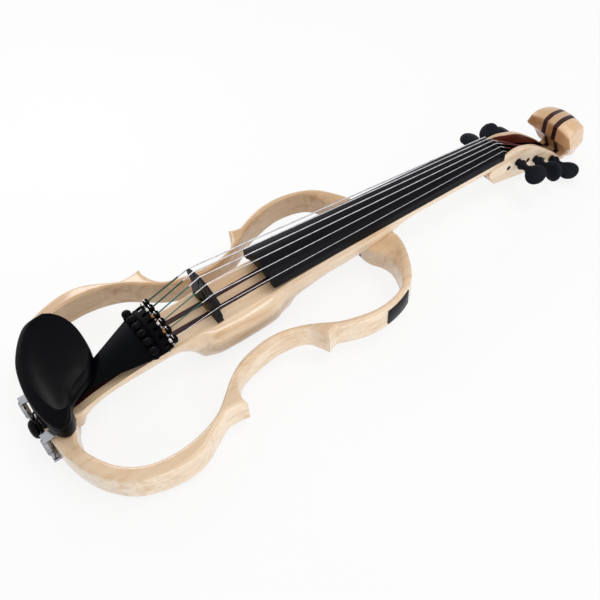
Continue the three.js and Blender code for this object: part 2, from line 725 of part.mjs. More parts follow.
// Tailpiece: an arched wedge with a cross fret, slots for the tuner levers and screw holes.
const tailRowShares = [[0, 0], [0.22, 0.06], [0.43, 0.16], [0.85, 0.92], [1, 1]];
const tailArch = (share) => tailpieceArch * (0.35 + 0.65 * share);
const tailpieceAt = (x) => {
  const share = (x - tailpieceBack) / (tailpieceFront - tailpieceBack);
  return THREE.MathUtils.lerp(tailpieceTailTop, tailpieceTop, share);
};
function tailRing([along, widthShare]) {
  const x = THREE.MathUtils.lerp(tailpieceBack, tailpieceFront, along);
  const half = THREE.MathUtils.lerp(tailpieceTailHalf, tailpieceHalf, widthShare);
  const top = tailpieceAt(x);
  const arch = tailArch(widthShare);
  const thick = tailpieceThick * (0.5 + 0.5 * widthShare);
  const ring = arcTop(half, half, top, arch, x);
  const lip = top - arch - thick / 4;
  return [...ring, vec(x, -half, lip), vec(x, -half / 2, top - thick),
    vec(x, half / 2, top - thick), vec(x, half, lip)];
}
let tailpiece = solid(skin(smoothRun(tailRowShares, stationSteps).map(tailRing)));
const fretBase = tailpieceAt(fretX);
const fretRing = (x, rise) => {
  const ring = arcTop(tailpieceHalf * 0.92, tailpieceHalf, fretBase + rise, tailArch(1), x);
  return [...ring, ...ring.map((p) => vec(p.x, p.y, p.z - rise - fretHeight)).reverse()];
};
tailpiece = tailpiece.add(solid(skin([
  fretRing(fretX - fretWidth / 2, fretHeight), fretRing(fretX + fretWidth / 2, fretHeight),
])));

// Places of one tuner: sideways place and the drop of the arch there.
const tailY = (i) => stringShare(i) * tailSpread;
const tailDrop = (i) => tailpieceArch * (tailY(i) / tailpieceHalf) ** 2;
const slotHalf = leverWidth / 2 + touchGap;
function leverShape(i) {
  const y = tailY(i);
  const pivotZ = tailpieceAt(leverPivotX) - leverPivotDepth - tailDrop(i);
  const hookZ = stringStart(i).z;
  const half = leverThick / 2;
  const outline = [
    flat(leverPivotX - leverReachBack, pivotZ - half), flat(leverPivotX + half, pivotZ - half),
    flat(leverHookX, pivotZ + leverPivotDepth - half), flat(leverHookX, hookZ + half),
    flat(leverHookX - leverThick, hookZ + leverHookRise),
    flat(leverHookX - leverThick * 1.3, hookZ + leverHookRise),
    flat(leverHookX - leverThick, pivotZ + leverPivotDepth + half / 2),
    flat(leverPivotX - half, pivotZ + half), flat(leverPivotX - leverReachBack, pivotZ + half),
  ];
  const arm = solid(sidePrism(outline, y - leverWidth / 2, y + leverWidth / 2));
  const reach = leverWidth / 2 + leverPinReach;
  const pin = rod("y", leverPinRadius, y - reach, y + reach, vec(leverPivotX, 0, pivotZ), tunerSides);
  return { shape: arm.add(solid(pin)), pivotZ, y };
}
const stringStart = (i) => vec(
  leverHookX + touchGap, tailY(i), tailpieceTop + leverHookRise - tailDrop(i),
);
stringDiameters.forEach((diameter, i) => {
  const { shape, pivotZ, y } = leverShape(i);
  const [y0, y1] = [y - slotHalf, y + slotHalf];
  const roof = pivotZ + leverThick;
  const slotBack = leverPivotX - leverReachBack - touchGap;
  const low = tailpieceTop - 3 * tailpieceThick;
  const under = solid(box(slotBack, tailpieceFront + overrun, y0, y1, low, roof));
  const mouth = solid(box(
    leverPivotX - leverThick, tailpieceFront + overrun, y0, y1, low, tailpieceTop + overrun,
  ));
  const reach = leverWidth / 2 + leverPinReach + touchGap;
  const pinHole = solid(rod("y", leverPinRadius + touchGap, y - reach, y + reach,
    vec(leverPivotX, 0, pivotZ), tunerSides));
  const screwHole = solid(rod("z", tunerShank + touchGap, low, tailpieceTop + overrun,
    vec(tunerX, y, 0), tunerSides));
  tailpiece = tailpiece.subtract(under).subtract(mouth).subtract(pinHole).subtract(screwHole);
  piece(`tuner_lever_${i + 1}`, shape, chrome);
  const foot = pivotZ + leverThick / 2 + touchGap;
  const neckTop = tailpieceAt(tunerX) - tailDrop(i) + tunerStand;
  const headTop = neckTop + tunerHeadHeight;
  const screw = [
    [0, foot], [tunerShank, foot], [tunerShank, neckTop], [tunerHeadRadius - pegTaper, neckTop],
    [tunerHeadRadius, neckTop + pegTaper], [tunerHeadRadius, headTop - pegTaper],
    [tunerHeadRadius - pegTaper, headTop], [0, headTop],
  ];
  const lathe = new THREE.LatheGeometry(screw.map(([r, z]) => flat(r, z)), tunerSides);
  piece(`tuner_screw_${i + 1}`, turnTo(lathe, "z").translate(tunerX, y, 0), blackLacquer);
});
piece("tailpiece", tailpiece, blackLacquer);

// Tube round a row of points, its rings turned as little as possible from one to the next.
function tube(points, radius, sides) {
  const directions = points.map((p, i) => {
    const before = points[Math.max(i - 1, 0)];
    const after = points[Math.min(i + 1, points.length - 1)];
    return after.clone().sub(before).normalize();
  });
  let across = vec(0, 1, 0).cross(directions[0]).normalize();
  const rings = points.map((p, i) => {
    across = across.sub(directions[i].clone().multiplyScalar(across.dot(directions[i]))).normalize();
    const up = directions[i].clone().cross(across);
    const ring = [];
    for (let s = 0; s < sides; s++) {
      const turn = 2 * Math.PI * s / sides;
      ring.push(p.clone().addScaledVector(across, radius * Math.cos(turn))
        .addScaledVector(up, radius * Math.sin(turn)));
    }
    return ring;
  });
  return skin(rings);
}

// Least gap between two turns of a wound tube, measured on its points.
function leastGap(points, diameter) {
  let least = Infinity;
  const away = Math.floor(windingSteps / 2);
  for (let i = 0; i < points.length; i++) {
    for (let j = i + away; j < points.length; j++) {
      const lift = new THREE.Line3(points[j - 1], points[j]);
      const near = lift.closestPointToPoint(points[i], true, vec(0, 0, 0));
      least = Math.min(least, near.distanceTo(points[i]) - diameter);
    }
  }
  return least;
}

// Strings run from the tuner hooks over the bridge and the nut and wind round their pegs.
const windingReach = cavityHalf - 1.4 * widest;
stringDiameters.forEach((diameter, i) => {
  const radius = diameter / 2;
  const treble = i < treblePegPlaces.length;
  const order = treble ? i : stringDiameters.length - 1 - i;
  const seat = pegSeats.find((s) => s.side === (treble ? -1 : 1) && s.order === order);
  const t = stringShare(i);
  const overBridge = vec(0, t * bridgeSpread, bridgeCrown - bridgeDrop * t * t);
  const overNut = vec(nutEnd + touchGap, t * nutSpread, nutCrown - nutDrop * t * t);
  const pitch = diameter + windingGap;
  const wound = pegShaft + touchGap + 1.15 * radius;
  const inward = Math.abs(t) * nutSpread > cavityHalf / 2;
  const firstY = seat.side * (inward ? windingReach : Math.abs(t) * nutSpread);
  const stepY = seat.side * (inward ? -pitch : pitch);
  const toNut = vec(overNut.x - seat.x, 0, overNut.z - seat.z);
  const startTurn = Math.atan2(toNut.z, toNut.x) - Math.acos(wound / toNut.length());
  const steps = windingTurns * windingSteps;
  const winding = [];
  for (let s = 0; s <= steps; s++) {
    const turn = startTurn - 2 * Math.PI * s / windingSteps;
    winding.push(vec(
      seat.x + wound * Math.cos(turn), firstY + stepY * s / windingSteps,
      seat.z + wound * Math.sin(turn),
    ));
  }
  const last = winding[steps];
  const tangent = last.clone().sub(winding[steps - 1]).normalize();
  const end = last.clone().addScaledVector(tangent, diameter);
  const gap = leastGap(winding, diameter);
  console.log(`string_${i + 1} winding gap ${gap.toFixed(2)} mm`);
  const route = [stringStart(i), overBridge, overNut, ...winding, end];
  piece(`string_${i + 1}`, tube(route, radius, stringSides), steel);
});

pegSeats.forEach((seat, i) => {
  const word = seat.side < 0 ? "treble" : "bass";
  piece(`${word}_peg_${seat.order + 1}`, pegShape(seat, pegTurns[i]), ebony);
});

// Saddle, end button and the gut loop that ties the tailpiece to the button.
const saddleTop = rimHeight + saddleHeight;
const saddleSide = [
  flat(bodyTail, rimHeight), flat(bodyTail + saddleLength, rimHeight),
  flat(bodyTail + saddleLength, saddleTop - saddleHeight / 4),
  flat(bodyTail + saddleLength * 0.6, saddleTop), flat(bodyTail + saddleLength * 0.25, saddleTop),
  flat(bodyTail, saddleTop - saddleHeight / 4),
];
piece("saddle", sidePrism(saddleSide, -saddleHalf, saddleHalf), ebony);

const neckEndX = bodyTail - touchGap - buttonNeckLength;
const buttonProfile = [
  [0, bodyTail + buttonPinLength], [buttonPin, bodyTail + buttonPinLength],
  [buttonPin, bodyTail - touchGap], [buttonNeck, bodyTail - touchGap], [buttonNeck, neckEndX],
  [buttonRadius * 0.93, neckEndX], [buttonRadius, neckEndX - buttonHeadLength * 0.2],
  [buttonRadius * 0.97, neckEndX - buttonHeadLength * 0.5],
  [buttonRadius * 0.7, neckEndX - buttonHeadLength * 0.9],
  [buttonRadius * 0.3, neckEndX - buttonHeadLength], [0, neckEndX - buttonHeadLength],
];
const button = new THREE.LatheGeometry(
  buttonProfile.map(([r, x]) => flat(r, -x)).reverse(), roundSides,
);
piece("end_button", button.rotateZ(Math.PI / 2).translate(0, 0, buttonZ), ebony);

const gutX = bodyTail - touchGap - buttonNeckLength / 2;
const gutTurn = buttonNeck + touchGap + 1.15 * gutRadius;
const gutTop = saddleTop + touchGap + 1.1 * gutRadius;
const gutSide = [
  vec(tailpieceBack - touchGap, gutSpread, tailpieceTailTop - tailpieceThick / 4),
  vec(bodyTail + saddleLength * 0.8, gutSpread, gutTop),
  vec(bodyTail + saddleLength * 0.2, gutSpread, gutTop),
  vec(bodyTail - gutRadius * 1.6, gutSpread, saddleTop - 1.5 * gutRadius),
  vec(gutX, gutTurn, buttonZ + gutTurn),
];
const gutLoop = [];
const loopSteps = 10;
for (let s = 0; s <= loopSteps; s++) {
  const turn = -Math.PI * s / loopSteps;
  gutLoop.push(vec(gutX, gutTurn * Math.cos(turn), buttonZ + gutTurn * Math.sin(turn)));
}
const gutBack = gutSide.map((p) => vec(p.x, -p.y, p.z)).reverse();
piece("tail_gut", tube([...gutSide, ...gutLoop, ...gutBack], gutRadius, stringSides + 1), steel);

// Chin rest: a dished plate with a raised lip, a wide leg on the treble side and a foot on
// the bass side of the tailpiece.
const chinCurve = new THREE.CatmullRomCurve3(
  chinOutlineShares.map(([x, y]) => vec(x * chinLength, y * chinWidth, 0)), true,
);
const chinEdge = chinCurve.getSpacedPoints(chinSteps).slice(0, chinSteps);
const chinMiddle = vec(chinX, chinY, 0);
const chinBase = (x) => chinUnder + chinTilt * (x - chinX);
const chinRim = chinPlate + chinDish;
const chinLayerShares = [
  [0.12, 1, 0], [0.4, 1, 0.1], [0.62, 1, 0.3], [0.78, 1, 0.62], [0.88, 1, 0.92], [0.93, 1, 1],
  [0.975, 1, 0.96], [1, 0.8, 0.75], [1, 0.4, 0], [0.97, 0, 0], [0.5, 0, 0], [0.12, 0, 0],
];
const chinRings = chinLayerShares.map(([spread, plate, dish]) => chinEdge.map((p) => {
  const at = chinMiddle.clone().addScaledVector(p, spread);
  return vec(at.x, at.y, chinBase(at.x) + plate * chinPlate + dish * chinDish);
}));
const chinOutline = chinEdge.map((p) => flat(chinX + p.x, chinY + p.y));
const footBottom = rimHeight + corkThick;
const footTop = chinUnder + chinPlate / 2;
const footInner = bodyTail + chinFootLength;
const chinFootStart = saddleHalf + touchGap;
const chinFootEnd = chinFootStart + chinFootWidth;
const chinLegEnd = -chinFootStart;
const clampY = chinFootStart + 2 * clampPlateHalf;
const chinColumn = solid(prism(chinOutline, footBottom, footTop - chinTilt * chinFootLength / 2));
const legBox = solid(box(
  bodyTail - overrun, footInner, chinY - chinWidth, chinLegEnd, footBottom, footTop,
));
const footBox = solid(box(
  bodyTail - overrun, footInner, chinFootStart, chinFootEnd, footBottom, footTop,
));
const plateTop = footBottom + clampPlate;
const clampX = bodyTail - clampBarrelRadius - 2 * touchGap;
let chinRest = solid(skin(chinRings)).add(chinColumn.intersect(legBox.add(footBox)));
for (const y of [clampY, -clampY]) {
  chinRest = chinRest.subtract(solid(box(
    bodyTail - 2 * overrun, clampX + clampReach + touchGap, y - clampPlateHalf - touchGap,
    y + clampPlateHalf + touchGap, footBottom - overrun, plateTop + touchGap,
  )));
}
piece("chin_rest", chinRest, blackLacquer);

// Cork under the foot and the leg, held inside their outlines.
const corkInset = 1.5;
const corkColumn = solid(prism(
  chinEdge.map((p) => flat(chinX + p.x * 0.97, chinY + p.y * 0.98)), rimHeight, footBottom,
));
const overRim = solid(box(
  bodyTail + corkInset, footInner - corkInset, -lowerHalf, lowerHalf, rimHeight, footBottom,
));
const corkLeg = solid(box(
  bodyTail, footInner, chinY - chinWidth, chinLegEnd - corkInset, rimHeight, footBottom,
));
const corkFoot = solid(box(
  bodyTail, footInner, chinFootStart + corkInset, chinFootEnd - corkInset, rimHeight, footBottom,
));
piece("treble_chin_rest_cork", corkColumn.intersect(overRim).intersect(corkLeg), cork);
piece("bass_chin_rest_cork", corkColumn.intersect(overRim).intersect(corkFoot), cork);

// Clamp: a hooked plate over and one under the rim, drawn together by two threaded barrels.
const barrelTop = clampBarrelBottom + clampBarrelLength;
const lowerPlateTop = -corkThick;
const lowerPlateBottom = lowerPlateTop - clampPlate;
for (const [side, word] of [[1, "bass"], [-1, "treble"]]) {
  const y = side * clampY;
  const axis = vec(clampX, y, 0);
  const plate = solid(box(
    clampX - clampRodRadius, clampX + clampReach, y - clampPlateHalf, y + clampPlateHalf,
    footBottom, plateTop,
  ));
  const leg = solid(rod("z", clampRodRadius, barrelTop - clampRodGrip, plateTop, axis, tunerSides));
  piece(`${word}_clamp_hook`, plate.add(leg), chrome);
  let barrel = solid(rod("z", clampBarrelRadius, clampBarrelBottom, barrelTop, axis, roundSides));
  barrel = barrel.subtract(solid(rod("z", clampRodRadius + turningGap,
    clampBarrelBottom - overrun, barrelTop + overrun, axis, tunerSides)));
  for (const share of [0.2, 0.5, 0.8]) {
    const height = clampBarrelBottom + share * clampBarrelLength;
    barrel = barrel.subtract(solid(rod("x", clampRodRadius * 0.7, clampX - overrun,
      clampX + overrun, vec(0, y, height), keySides)));
  }
  piece(`${word}_clamp_barrel`, barrel, chrome);
}
let lowerHook = solid(box(
  clampX - clampRodRadius, clampX + clampReach, -clampY - clampPlateHalf, clampY + clampPlateHalf,
  lowerPlateBottom, lowerPlateTop,
));
for (const y of [clampY, -clampY]) {
  lowerHook = lowerHook.add(solid(rod("z", clampRodRadius, lowerPlateBottom,
    clampBarrelBottom + clampRodGrip, vec(clampX, y, 0), tunerSides)));
}
piece("lower_clamp_bracket", lowerHook, chrome);
piece("lower_clamp_cork", box(
  bodyTail + corkInset, clampX + clampReach - corkInset, -clampY - clampPlateHalf,
  clampY + clampPlateHalf, lowerPlateTop, 0,
), cork);

// Bare plate that follows the wall of the upper bout.
const [plateStart, plateEnd] = plateShares.map((share) => bodyTail + share * bodyLength);
const plateRun = upperOuter.filter((p) => p.x > plateStart && p.x < plateEnd);
const plateOffset = (amount) => plateRun.map((p, i) => {
  const before = plateRun[Math.max(i - 1, 0)];
  const after = plateRun[Math.min(i + 1, plateRun.length - 1)];
  const along = after.clone().sub(before).normalize();
  return flat(p.x - along.y * amount, -(p.y + along.x * amount));
});
const plateLow = (rimHeight - plateHeight) / 2;
piece("side_plate", prism(
  [...plateOffset(touchGap), ...plateOffset(touchGap + plateThick).reverse()],
  plateLow, plateLow + plateHeight,
), blackPlastic);

// Control panel with its jack, knobs and door, and the parts inside the bar.
const jackX = panelStart + cavityWall + touchGap + jackRadius;
const knobXs = [0, 1].map((n) => panelWeb + knobRadius + turningGap + n * knobPitch);
const batteryStart = knobXs[1] + knobRadius + 2 * touchGap;
const batteryEnd = batteryStart + batteryLength;
const doorHalf = batteryWidth / 2;
const doorEnd = batteryEnd - cavityWall;
let panel = solid(box(panelStart, panelEnd, -panelHalf, panelHalf, 0, panelThick));
panel = panel.subtract(solid(box(
  batteryStart - touchGap, doorEnd + touchGap, -doorHalf - touchGap, doorHalf + touchGap,
  -overrun, panelThick + overrun,
)));
for (const x of knobXs) {
  const hole = rod("z", knobRadius + turningGap, -overrun, overrun, vec(x, 0, 0), roundSides);
  panel = panel.subtract(solid(hole));
}
const jackAxis = vec(jackX, 0, 0);
const jackSeat = rod("z", jackRadius + touchGap, -overrun, overrun, jackAxis, roundSides);
panel = panel.subtract(solid(jackSeat));
piece("control_panel", panel, blackPlastic);
piece("battery_door", box(
  batteryStart, doorEnd, -doorHalf, doorHalf, panelThick - doorThick, panelThick,
), blackPlastic);
const batteryLow = panelThick + touchGap;
piece("battery", box(
  batteryStart, batteryEnd, -batteryWidth / 2, batteryWidth / 2, batteryLow,
  batteryLow + batteryHeight,
), batteryWrap);
["volume_knob", "tone_knob"].forEach((name, i) => {
  const knobTop = knobRecess + knobHeight;
  const knob = solid(rod("z", knobRadius, knobRecess, knobTop, vec(knobXs[i], 0, 0), roundSides));
  const stem = rod("z", tunerShank, knobTop - tunerShank, knobTop + jackRadius,
    vec(knobXs[i], 0, 0), tunerSides);
  piece(name, knob.add(solid(stem)), blackPlastic);
});
const boardLow = knobRecess + knobHeight + jackRadius + touchGap;
piece("preamp_board", box(
  jackX + jackRadius + 2 * touchGap, batteryStart - touchGap, -doorHalf, doorHalf,
  boardLow, boardLow + boardThick,
), circuitGreen);
const jackBody = solid(rod("z", jackRadius, 0, jackDepth, jackAxis, roundSides));
const jackHole = rod("z", jackBore, -overrun, jackDepth - cavityWall, jackAxis, roundSides);
piece("output_jack", jackBody.subtract(solid(jackHole)), steel);

export default group;
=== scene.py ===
"""Electric violin: an open wooden frame with its fingerboard, strings and fittings.

Lengths are metres. X runs from the tail to the scroll, Y to the bass side, Z up to the strings.
"""

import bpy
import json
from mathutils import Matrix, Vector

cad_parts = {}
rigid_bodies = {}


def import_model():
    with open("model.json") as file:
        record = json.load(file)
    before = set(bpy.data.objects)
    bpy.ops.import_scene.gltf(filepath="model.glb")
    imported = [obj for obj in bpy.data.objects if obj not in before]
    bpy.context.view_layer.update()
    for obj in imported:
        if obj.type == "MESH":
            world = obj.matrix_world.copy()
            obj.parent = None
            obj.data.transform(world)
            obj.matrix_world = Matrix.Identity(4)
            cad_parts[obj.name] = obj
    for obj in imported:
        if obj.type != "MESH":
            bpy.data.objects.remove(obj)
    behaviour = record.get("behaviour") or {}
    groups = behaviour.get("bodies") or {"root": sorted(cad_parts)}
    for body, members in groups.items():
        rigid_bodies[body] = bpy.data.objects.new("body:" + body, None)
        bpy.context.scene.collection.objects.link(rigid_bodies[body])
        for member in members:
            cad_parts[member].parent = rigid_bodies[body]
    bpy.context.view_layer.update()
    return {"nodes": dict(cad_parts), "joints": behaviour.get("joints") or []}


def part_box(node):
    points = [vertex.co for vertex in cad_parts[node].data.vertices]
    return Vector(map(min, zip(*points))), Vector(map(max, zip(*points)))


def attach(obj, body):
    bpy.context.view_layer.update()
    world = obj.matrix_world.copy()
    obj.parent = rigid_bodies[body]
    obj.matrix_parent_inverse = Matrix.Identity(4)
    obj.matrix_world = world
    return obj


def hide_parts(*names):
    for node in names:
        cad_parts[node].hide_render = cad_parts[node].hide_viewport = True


bl_info = {
    "name": "Electric Violin",
    "version": (1, 0, 0),
    "blender": (4, 5, 0),
    "location": "View3D > Sidebar > Violin",
    "description": "Builds the visible pieces of a six-string electric violin on its frame",
    "category": "Object",
}

import json
import math

import bmesh
import bpy
import numpy as np
from bpy.props import FloatProperty, FloatVectorProperty, IntProperty, PointerProperty
from mathutils import Matrix, Vector
from mathutils.geometry import delaunay_2d_cdt

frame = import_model()
MM = 0.001
WELD = 0.002 * MM
SIDES = (("bass", 1), ("treble", -1))
STRINGS = range(6)

# Wood body: from the frame's boxes, or as measured where they don't give the size.
BODY_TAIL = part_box("centre_lamination")[0].x
BODY_LENGTH = 351.5 * MM
BEAM_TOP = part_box("pickup")[0].z
BEAM_HALF = 20.6 * MM
BELLY_HALF = 29.2 * MM
CORE_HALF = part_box("centre_lamination")[1].y
STRIPE_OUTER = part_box("bass_dark_stripe")[1].y
BLOCK_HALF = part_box("bass_rim")[0].y
RIM_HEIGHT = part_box("bass_rim")[1].z
PEGBOX_HALF = 15.6 * MM
CAVITY_HALF = 10 * MM
CAVITY_NUT_HALF = 13.4 * MM

# Fingerboard, neck and head.
BOARD_END, NUT_X = (corner.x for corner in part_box("fingerboard"))
BOARD_END_HALF = 23.4 * MM
NUT_HALF = 16 * MM
BOARD_SIDE = 8.2 * MM
BOARD_END_UNDER = 47.8 * MM
NUT_UNDER = 28.5 * MM
NECK_DEPTH = 11.8 * MM
NECK_BACK_HALF = 5 * MM
NUT_LO, NUT_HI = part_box("nut")
HEAD_END = 428 * MM
HEAD_DROP = 24 * MM
SCROLL_FRONT = 415 * MM
SCROLL_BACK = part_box("centre_lamination")[1].x
SCROLL_TOP = 20.4 * MM
SCROLL_HALF = 31 * MM
SCROLL_DEPTH = 21 * MM
SCROLL_CROWN = 5.2 * MM

# Strings, treble to bass.
STRING_RADII = [d / 2 * MM for d in (0.5, 0.65, 0.8, 0.95, 1.15, 1.3)]
BRIDGE_CROWN = 75 * MM
BRIDGE_DROP = 7.9 * MM
BRIDGE_SPREAD = 25.4 * MM
NUT_CROWN = 41.3 * MM
NUT_DROP = 2.7 * MM
NUT_SPREAD = 13.1 * MM
PEG_SHAFT = 3.3 * MM
TOUCH_GAP = 0.3 * MM
WINDING_GAP = 0.75 * MM

# Tailpiece and its tuners.
TAIL_BACK, TAIL_FRONT = (corner.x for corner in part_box("tailpiece"))
TAIL_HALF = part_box("tailpiece")[1].y
TAIL_END_HALF = 9 * MM
TAIL_TOP = 58 * MM
TAIL_END_TOP = 31.5 * MM
TAIL_ARCH = 4 * MM
TAIL_THICK = 9 * MM
TAIL_SPREAD = 23 * MM
TUNER_X = -62 * MM
HOOK_X = -42.5 * MM
HOOK_RISE = 3 * MM
SLOT_START = -52.5 * MM
SLOT_HALF = 1.7 * MM
FRET_X = -55.5 * MM
# Section of the cross fret in millimetres: place along the tailpiece, rise over it.
FRET_PROFILE = [(-1.1, -0.8), (-0.9, 0.7), (-0.5, 1.3), (0.5, 1.3), (0.9, 0.7), (1.1, -0.8)]
# Boxes in millimetres from the string's end: a lever's head, and the gap that the string lies in.
LEVER_HEAD = ((-3, -2.9, -4.6), (1.6, 2.9, 2.2))
LEVER_GAP = ((-9, -1, -2.1), (9, 1, 9))
# Ball on a string's end in millimetres: radius, place along its axis.
BALL_PROFILE = [(0.2, -1.9), (1.3, -1.6), (1.7, -0.8), (1.2, 0), (1.7, 0.8), (1.3, 1.6),
                (0.2, 1.9)]

# Tail cord and the end button's neck.
GUT_RADIUS = 0.9 * MM
GUT_SPREAD = 3.4 * MM
BUTTON_NECK = 4.2 * MM

# Hollow worked into the rim's top beside the neck.
SCOOP_START = 118 * MM
SCOOP_RUN = 38 * MM
SCOOP_WIDTH = 13 * MM

# Chin rest.
CHIN_X = -131 * MM
CHIN_Y = 26 * MM
CHIN_LENGTH = 62 * MM
CHIN_WIDTH = 110 * MM
CHIN_UNDER = 40.2 * MM
CHIN_PLATE = 3.4 * MM
CHIN_DISH = 5 * MM
CHIN_TILT = 0.09
CHIN_SHIFT = (4.2 * MM, 3.5 * MM)
CHIN_CREASE = 0.855
FOOT_WIDTH = 17 * MM
CORK_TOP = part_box("treble_chin_rest_cork")[1].z
BARREL_BORE = 1.9 * MM
BARREL_SHARE = 0.82
# End of a clamp barrel: share of its radius, millimetres from its end.
BARREL_END = [(0.78, 0), (0.93, 0.5), (1, 1.3), (1, 2.4), (0.9, 2.8), (0.9, 3.4), (1, 3.8)]
KEY_HOLE_SHARES = (0.22, 0.42, 0.62, 0.82)

# Electronics.
JACK_BORE = 3.2 * MM

# Stations of the bar as shares: place, top, top half width, bulge, height of the widest line,
# half width of the back, height of the back.
BAR_SHARES = [
    (0.047, 0.61, 0.63, 0.12, 0.34, 0.44, 0.1), (0.078, 0.63, 0.73, 0.29, 0.48, 0.58, 0.1),
    (0.095, 0.66, 0.78, 0.14, 0.59, 0.44, 0.29), (0.112, 0.7, 0.78, 0.07, 0.64, 0.39, 0.39),
    (0.138, 0.75, 0.78, 0.05, 0.7, 0.34, 0.47), (0.175, 0.8, 0.78, 0.02, 0.75, 0.32, 0.51),
    (0.232, 0.87, 0.79, 0.03, 0.81, 0.32, 0.52), (0.289, 0.94, 0.85, 0.03, 0.87, 0.32, 0.54),
    (0.331, 0.98, 0.93, 0.03, 0.92, 0.34, 0.57), (0.357, 1, 0.99, 0.03, 0.9, 0.36, 0.51),
    (0.383, 1, 1, 0.09, 0.77, 0.39, 0.29), (0.405, 1, 1, 0.14, 0.65, 0.54, 0.01),
    (0.418, 1, 1, 0.4, 0.53, 0.58, 0), (0.445, 1, 1, 0.83, 0.48, 0.61, 0),
    (0.516, 1, 1, 1, 0.48, 0.61, 0), (0.596, 1, 1, 0.86, 0.48, 0.61, 0),
    (0.63, 1, 1, 0.4, 0.53, 0.58, 0), (0.661, 1, 1, 0.02, 0.68, 0.56, 0.01),
    (0.681, 1, 1, 0, 0.73, 0.39, 0.12), (0.73, 1, 1, 0, 0.73, 0.34, 0.21),
    (0.784, 1, 1, 0, 0.73, 0.29, 0.27), (0.849, 1, 1, 0, 0.73, 0.29, 0.27),
]
# Stations of the neck as shares: place, depth under the board, half width of the back.
NECK_SHARES = [
    (0.06, 2.62, 1.4), (0.12, 2.55, 1.5), (0.2, 2.3, 1.5), (0.27, 1.95, 1.4), (0.33, 1.4, 1.2),
    (0.39, 1.08, 1.05), (0.46, 1, 1), (0.7, 1, 1), (0.9, 1, 1), (0.985, 1, 1),
]
# Ends of the blocks under the bar, beyond the rim's inner edge, as shares of their half width.
TAIL_BLOCK_SHARES = [(-0.04, 0.67), (-0.055, 0.47), (-0.16, 0.19), (-0.345, -0.14)]
NECK_BLOCK_SHARES = [(0.09, 0.33), (0.12, 0.7)]
# Side view of the head past the nut, as shares of its length and drop.
CHEEK_SHARES = [
    (0.055, 1.37), (0.2, 1.35), (0.34, 1.17), (0.49, 0.89), (0.64, 0.44), (0.83, -0.23),
    (0.955, -0.76),
]
HEEL_SHARES = [(-0.03, 0.06), (-0.075, 0.3), (-0.125, 0.73)]
# Scroll sections: place, then height and half width of the top edge, widest line and underside.
SCROLL_SHARES = [
    (0, 0.86, 0.86, 0.22, 1, 0.17, 0.97), (0.2, 1, 0.84, 0.12, 0.96, -0.17, 0.8),
    (0.36, 1.04, 0.81, 0.03, 0.92, -0.78, 0.62), (0.66, 0.98, 0.76, 0, 0.87, -1, 0.62),
    (0.88, 0.84, 0.7, -0.08, 0.79, -0.87, 0.6), (1, 0.56, 0.6, -0.1, 0.68, -0.57, 0.54),
]
# Chin rest seen from above, and its layers: spread, share of the plate, share of the dish.
CHIN_SHARES = [
    (0.21, 0.464), (-0.02, 0.455), (-0.18, 0.382), (-0.34, 0.245), (-0.43, 0.114),
    (-0.485, -0.073), (-0.485, -0.245), (-0.452, -0.382), (-0.387, -0.491), (-0.29, -0.532),
    (-0.178, -0.505), (-0.08, -0.418), (0.08, -0.355), (0.274, -0.3), (0.403, -0.209),
    (0.484, -0.109), (0.508, 0.023), (0.5, 0.136), (0.468, 0.236), (0.403, 0.336),
    (0.315, 0.414),
]
CHIN_LAYERS = [
    (0.04, 1, 0), (0.2, 1, 0.02), (0.4, 1, 0.12), (0.6, 1, 0.34), (0.74, 1, 0.64), (0.83, 1, 0.92),
    (0.848, 1, 0.99), (0.862, 1, 0.99), (0.9, 1, 0.87), (0.96, 1, 0.58), (0.99, 0.95, 0.36),
    (1, 0.75, 0.12), (1, 0.4, 0.03), (0.985, 0.1, 0), (0.96, 0, 0), (0.5, 0, 0), (0.04, 0, 0),
]
TAIL_SHARES = [(0, 0), (0.22, 0.06), (0.43, 0.16), (0.85, 0.92), (1, 1)]
# Peg's shaft and collar in millimetres: radius, place along it; then each thumb piece's turn.
PEG_PROFILE = [
    (0, -16.2), (2.7, -15.6), (3.3, 10), (3.8, 15.6), (3.85, 19.2), (4.3, 19.6), (5.2, 20.3),
    (5.4, 21.2), (5.2, 22.2), (4.3, 23), (3.8, 23.4), (4.2, 24), (3.5, 24.8), (3.2, 26.2),
]
PEG_TURNS = {"treble": (25, 78, 12), "bass": (10, -35, 40)}
THUMB_START = 26.4 * MM
THUMB_THICK = 4.3 * MM
# Thumb piece of a peg: place along it, half width and half thickness.
THUMB_SHARES = [
    (0, 0.3, 0.75), (0.08, 0.31, 0.78), (0.18, 0.48, 0.86), (0.3, 0.76, 0.95), (0.45, 0.95, 1),
    (0.6, 1, 1), (0.75, 0.93, 0.96), (0.88, 0.7, 0.8), (0.96, 0.42, 0.55), (1, 0.02, 0.03),
]


def srgb(red, green, blue):
    """Colour given as 0 to 255 on a screen, as the shader's linear values."""
    parts = [c / 255 for c in (red, green, blue)]
    return tuple(c / 12.92 if c <= 0.04045 else ((c + 0.055) / 1.055) ** 2.4 for c in parts) + (1,)


